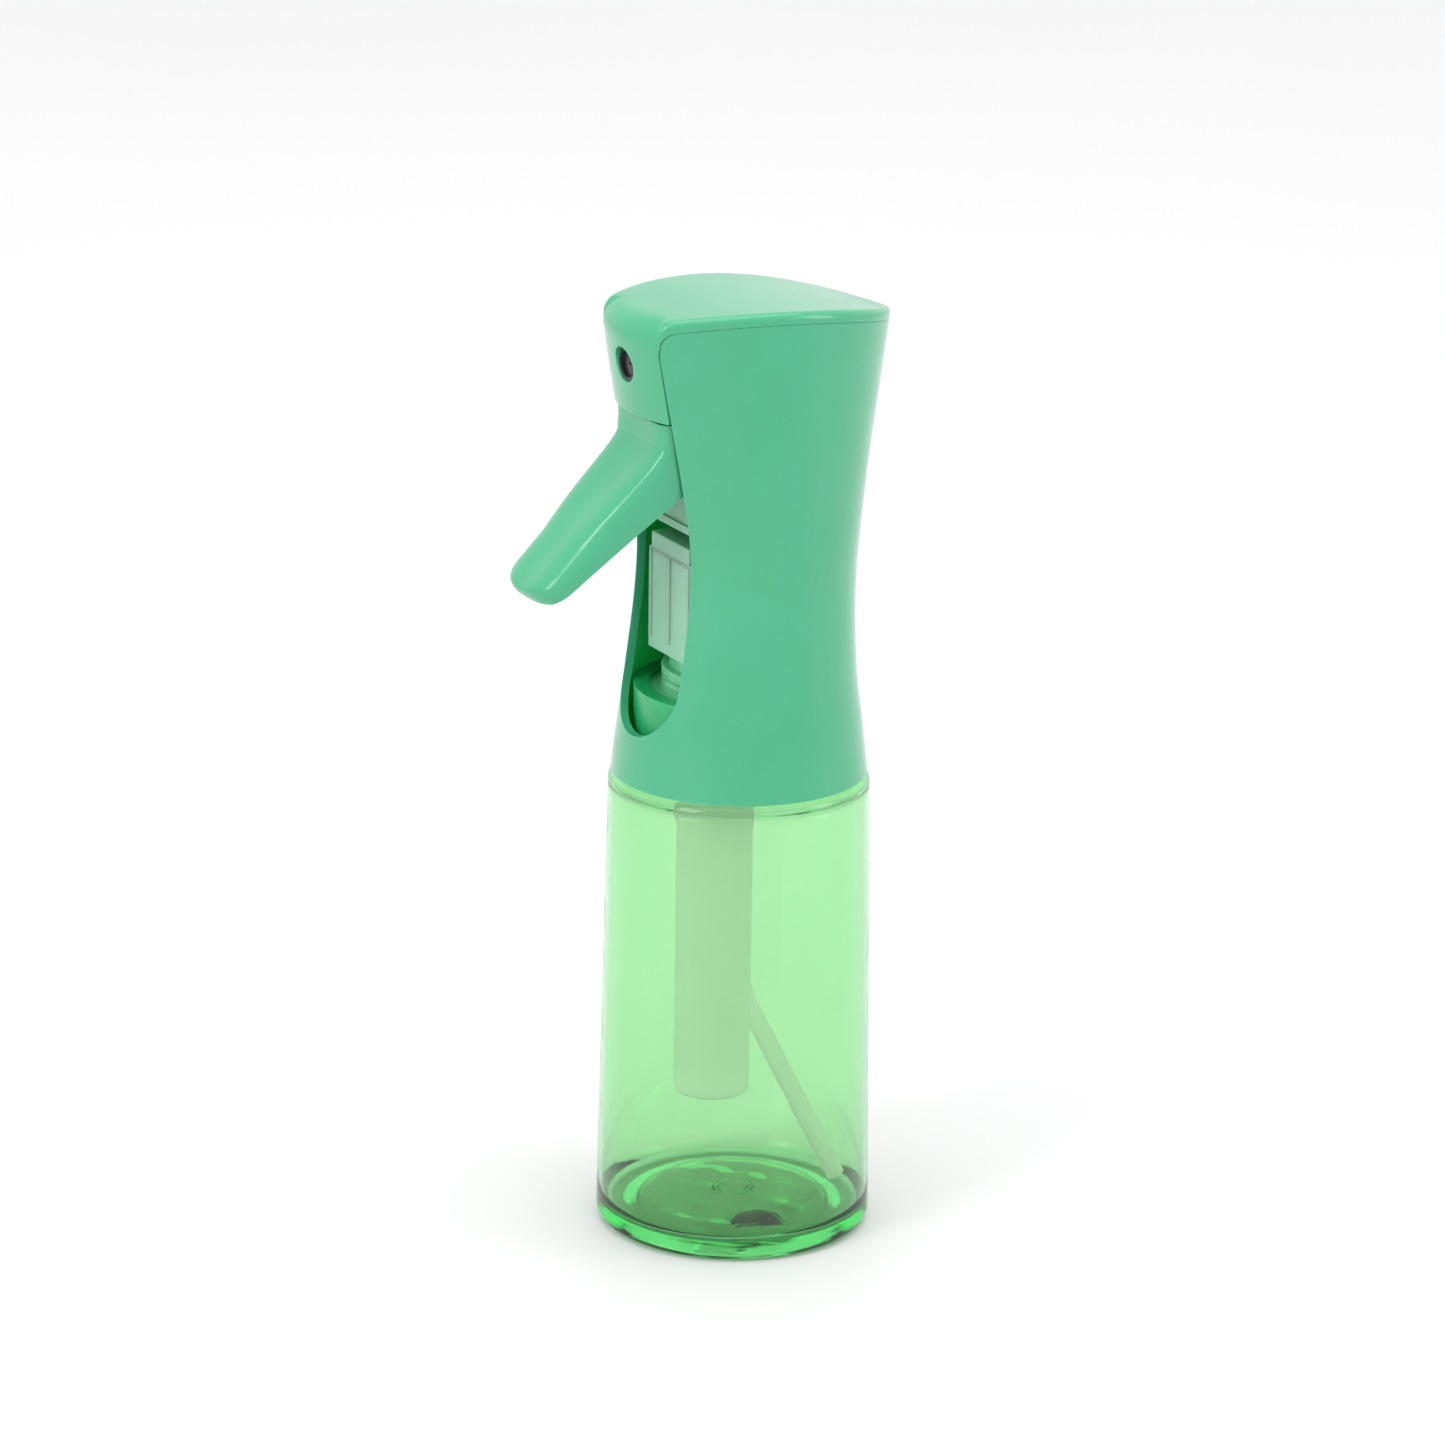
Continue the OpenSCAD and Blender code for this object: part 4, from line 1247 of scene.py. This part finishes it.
class Bottle:
    """The clear bottle, blown in one piece, with its thick base and threaded neck."""

    def __init__(self, size: BottleSize) -> None:
        """Keeps the sizes.

        Args:
            size: The bottle's sizes.
        """
        self.size = size

    def _profile(self) -> np.ndarray:
        """The closed section, radius and height, from the middle of the underside out, up, over and down inside.

        Returns:
            n by 2.
        """
        size = self.size

        def arc(cx: float, cz: float, r: float, start: float, stop: float, count: int) -> np.ndarray:
            """Points of a round: (cx + r cos a, cz + r sin a).

            Args:
                cx: Centre's radius.
                cz: Centre's height.
                r: Radius of the round.
                start: First angle in degrees.
                stop: Last angle in degrees.
                count: How many points.

            Returns:
                count by 2.
            """
            a = np.radians(np.linspace(start, stop, count))
            return np.column_stack([cx + r * np.cos(a), cz + r * np.sin(a)])

        push_up = spaced([(0, 3.4), (7, 3.25), (13, 2.95), (17.0, 2.4), (19.2, 1.1), (20.9, 0.15), (22.4, 0.0)], 64)
        push_up[:, 1] += 0.45 * np.exp(-(((push_up[:, 0] - 3.3) / 0.4) ** 2))
        heel = arc(size.heel_radius - size.heel_round, size.heel_round, size.heel_round, -90, 0, 14)
        bend = size.shoulder_round
        shoulder = arc(size.top_radius - bend, size.height - bend, bend, 0, 90, 12)
        wall_z = np.linspace(heel[-1, 1], shoulder[0, 1], 40)[1:-1]
        wall = np.column_stack([np.interp(wall_z, [heel[-1, 1], shoulder[0, 1]], [26.5, 25.0]), wall_z])
        neck_z = np.linspace(size.height + 1.0, size.height + size.neck_height, 70)
        neck = np.column_stack([np.full(len(neck_z), size.neck_radius), neck_z])
        inside_top = size.top_radius - size.wall
        inside_low = size.heel_radius - size.wall
        bore = size.neck_radius - size.neck_wall
        inner_shoulder = arc(inside_top - 2.8, size.height - 3.1 - size.wall, 2.8, 90, 0, 12)
        inner_heel = arc(inside_low - 3.4, 6.6, 3.4, 0, -82, 12)
        inner_z = np.linspace(inner_shoulder[-1, 1], inner_heel[0, 1], 40)[1:-1]
        inner_wall = np.column_stack([np.interp(inner_z, [6.6, 87.0], [inside_low, inside_top]), inner_z])
        floor_start = tuple(inner_heel[-1])
        inner_floor = spaced([floor_start, (19.0, 3.9), (15.0, 4.9), (8.0, 5.6), (0.0, size.floor_z)], 40)[1:]
        return np.vstack(
            [
                push_up,
                heel[1:],
                wall,
                shoulder,
                [[size.neck_radius + 1.5, size.height + 0.2]],
                neck,
                [
                    [bore, size.height + size.neck_height],
                    [bore, size.height + 2],
                    [bore + 0.6, size.height - size.wall - 0.3],
                ],
                inner_shoulder,
                inner_wall,
                inner_heel,
                inner_floor,
            ]
        )

    def build(self, painter: Painter) -> bpy.types.Object:
        """Turns the section about Z, then raises the thread, cuts the notch and lets the thick base vary.

        The thread's height is depth x a rounded step of the distance from its helix z = z0 + pitch x turn; the
        base's thickness varies by a sum of slow waves, as blown bases do.

        Args:
            painter: Gives the material.

        Returns:
            The piece.
        """
        size = self.size
        profile = self._profile()
        a = np.linspace(0, 2 * math.pi, size.columns, endpoint=False)
        r = np.repeat(profile[:, :1], size.columns, axis=1)
        z = np.repeat(profile[:, 1:], size.columns, axis=1)
        turn = a / (2 * math.pi)
        ridge = np.zeros_like(r)
        for lap in (0, 1):
            place = turn + lap
            inside = np.clip(place / 0.15, 0, 1) * np.clip((1.4 - place) / 0.15, 0, 1)
            off = np.abs(z - (size.height + size.neck_height - 8 + size.thread_pitch * place))
            ridge = np.maximum(ridge, inside * np.clip((0.62 - off) / 0.3, 0, 1))
        on_neck = (np.abs(r - size.neck_radius) < 1e-6) & (z > size.height + 1.2)
        r = r + on_neck * ridge * (size.thread_depth - 0.1)
        x, y = r * np.cos(a), r * np.sin(a)
        notch_x, notch_y = x - 16.7, y + 3.1
        lean = math.radians(-18)
        along = notch_x * math.cos(lean) + notch_y * math.sin(lean)
        side = -notch_x * math.sin(lean) + notch_y * math.cos(lean)
        in_notch = (np.hypot(along + 1.2, side) < 4.6) & (along < 0.9)
        underside = np.arange(len(profile))[:, None] < 64
        z = np.where(in_notch & underside, np.maximum(z, 3.3), z)
        waves = np.sin(x / 3.1 + 0.7) * np.cos(y / 2.7 - 0.4)
        waves = waves + 0.6 * np.sin((x + y) / 1.7) + 0.5 * np.cos((x - 1.4 * y) / 2.2)
        on_floor = np.arange(len(profile))[:, None] >= len(profile) - 39
        z = z + np.where(on_floor & (r > 0.1), 0.12 * waves * np.clip((20.0 - r) / 6, 0, 1), 0.0)
        made = Surface("clear_bottle")
        made.grid(np.dstack([x, y, z]), wrap_columns=True)
        return made.build(painter.material(CLEAR_GREEN), sharp_degrees=60)


# ---- studio -----------------------------------------------------------------------------


@dataclass(frozen=True)
class CameraSize:
    """Where the camera stands and how it looks."""

    aim: tuple[float, float, float] = (0.0, 0.0, 0.100)
    distance: float = 1.2
    azimuth: float = 61.0
    elevation: float = 17.9
    roll: float = 0.92
    lens: float = 157.2
    shift_x: float = -0.0118


@dataclass(frozen=True)
class SoftBox:
    """One soft light: place, what it faces, size and power."""

    name: str
    place: tuple[float, float, float]
    width: float
    height: float
    power: float
    aim: tuple[float, float, float] = (0.0, 0.0, 0.1)


SOFT_BOXES = (
    SoftBox("overhead", (0.1, 0.1, 1.5), 1.4, 1.4, 9.0),
    SoftBox("left_front", (0.35, -1.3, 0.9), 0.5, 1.1, 8.0),
    SoftBox("right_rear", (0.9, 1.2, 0.7), 0.5, 1.0, 4.0),
)


class Studio:
    """The pale floor, the soft light and the camera."""

    def __init__(self, camera: CameraSize, painter: Painter) -> None:
        """Keeps the camera's sizes.

        Args:
            camera: The camera.
            painter: Gives the floor's material.
        """
        self.camera = camera
        self.painter = painter

    def build(self) -> None:
        """Makes floor, world light, soft boxes and camera."""
        self._floor()
        self._world()
        for box in SOFT_BOXES:
            self._light(box)
        self._camera()

    def _floor(self) -> None:
        """Makes the floor, a wide round of rings."""
        radius = np.concatenate([[0.0], np.geomspace(60, 6000, 24)])
        a = np.linspace(0, 2 * math.pi, 96, endpoint=False)
        points = np.dstack(
            [radius[:, None] * np.cos(a), radius[:, None] * np.sin(a), np.full((len(radius), len(a)), -0.02)]
        )
        made = Surface("studio_floor")
        made.grid(points, wrap_columns=True)
        floor = made.build(self.painter.material(PALE_FLOOR))
        if floor.data.polygons[0].normal.z < 0:
            floor.data.flip_normals()

    def _world(self) -> None:
        """Lights the scene evenly from all around."""
        world = bpy.data.worlds.new("soft_surround")
        world.use_nodes = True
        world.node_tree.nodes["Background"].inputs["Color"].default_value = (1.0, 1.0, 1.0, 1.0)
        world.node_tree.nodes["Background"].inputs["Strength"].default_value = 1.0
        bpy.context.scene.world = world
        bpy.context.scene.view_settings.view_transform = "Standard"

    def _light(self, box: SoftBox) -> None:
        """Hangs one soft box.

        Args:
            box: The light.
        """
        data = bpy.data.lights.new(box.name, "AREA")
        data.shape, data.size, data.size_y, data.energy = "RECTANGLE", box.width, box.height, box.power
        lamp = bpy.data.objects.new(box.name, data)
        lamp.location = box.place
        lamp.rotation_euler = (Vector(box.aim) - Vector(box.place)).to_track_quat("-Z", "Y").to_euler()
        bpy.context.scene.collection.objects.link(lamp)

    def _camera(self) -> None:
        """Stands the camera where it sees what the viewer sees, with its small roll."""
        size = self.camera
        azimuth, elevation, roll = (math.radians(a) for a in (size.azimuth, size.elevation, size.roll))
        back = Vector(
            (math.sin(azimuth) * math.cos(elevation), -math.cos(azimuth) * math.cos(elevation), math.sin(elevation))
        )
        right = Vector((0, 0, 1)).cross(back).normalized()
        up = back.cross(right)
        rolled_up = up * math.cos(roll) - right * math.sin(roll)
        rolled_right = right * math.cos(roll) + up * math.sin(roll)
        data = bpy.data.cameras.new("view")
        data.lens, data.sensor_width, data.shift_x = size.lens, 36.0, size.shift_x
        data.clip_start, data.clip_end = 0.05, 30.0
        camera = bpy.data.objects.new("view", data)
        place = Vector(size.aim) + back * size.distance
        turned = Matrix((rolled_right, rolled_up, back)).transposed().to_4x4()
        camera.matrix_world = Matrix.Translation(place) @ turned
        bpy.context.scene.collection.objects.link(camera)
        bpy.context.scene.camera = camera


# ---- assembly ---------------------------------------------------------------------------


class Mister:
    """The whole object: the shaped pieces and the finishes of the pieces that the frame already shapes."""

    def __init__(self, frame: dict, painter: Painter) -> None:
        """Keeps the frame.

        Args:
            painter: Gives materials.
        """
        self.frame = frame
        self.painter = painter

    def _place(self, piece: bpy.types.Object, body: str, slot: Slot, *nodes: str) -> None:
        """Ties a piece to the body that carries it.

        Args:
            piece: The piece.
            body: Its body.
            slot: Its material slot; not used.
            *nodes: The nodes that it stands for.
        """
        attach(piece, body)
        if nodes:
            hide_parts(*nodes)
        LOG.info("%s rides %s", piece.name, body)

    def build(self) -> None:
        """Builds every piece."""
        shape = HeadShape(HeadSize())
        self._place(Casing(shape).build(self.painter), "head", Slot.CASING, "shroud")
        self._place(Cover(shape).build(self.painter), "head", Slot.CASING, "front_cover")
        trigger = Trigger(TriggerSize())
        self._place(trigger.build(self.painter), "trigger", Slot.CASING, "trigger")
        self._place(trigger.build_ears(self.painter), "trigger", Slot.CASING)
        self._place(Tower(TowerSize()).build(self.painter), "head", Slot.NATURAL, "valve_tower")
        for size in SPRINGS:
            spring = Spring(size)
            coil = spring.build(self.painter)
            self._place(coil, "head", Slot.STEEL, size.node)
            spring.shorten(coil)
        self._place(Bottle(BottleSize()).build(self.painter), "bottle", Slot.BOTTLE, "bottle")
        self._finish_nodes()

    def _finish_nodes(self) -> None:
        """Gives each piece that the frame shapes its finish."""
        for part in self.frame["record"]["subparts"]:
            node = self.frame["nodes"][part["node"]]
            finish = FINISH_OF_NODE.get(part["node"], FINISH_OF_SLOT[Slot(part["material_slot"])])
            material = self.painter.material(finish)
            for place in node.material_slots:
                place.material = material
            LOG.info("%s finished in %s", part["node"], material.name)


def main() -> None:
    logging.basicConfig(level=logging.INFO, format="%(name)s: %(message)s")
    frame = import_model()
    painter = Painter()
    Mister(frame, painter).build()
    Studio(CameraSize(), painter).build()


if __name__ == "__main__":
    main()
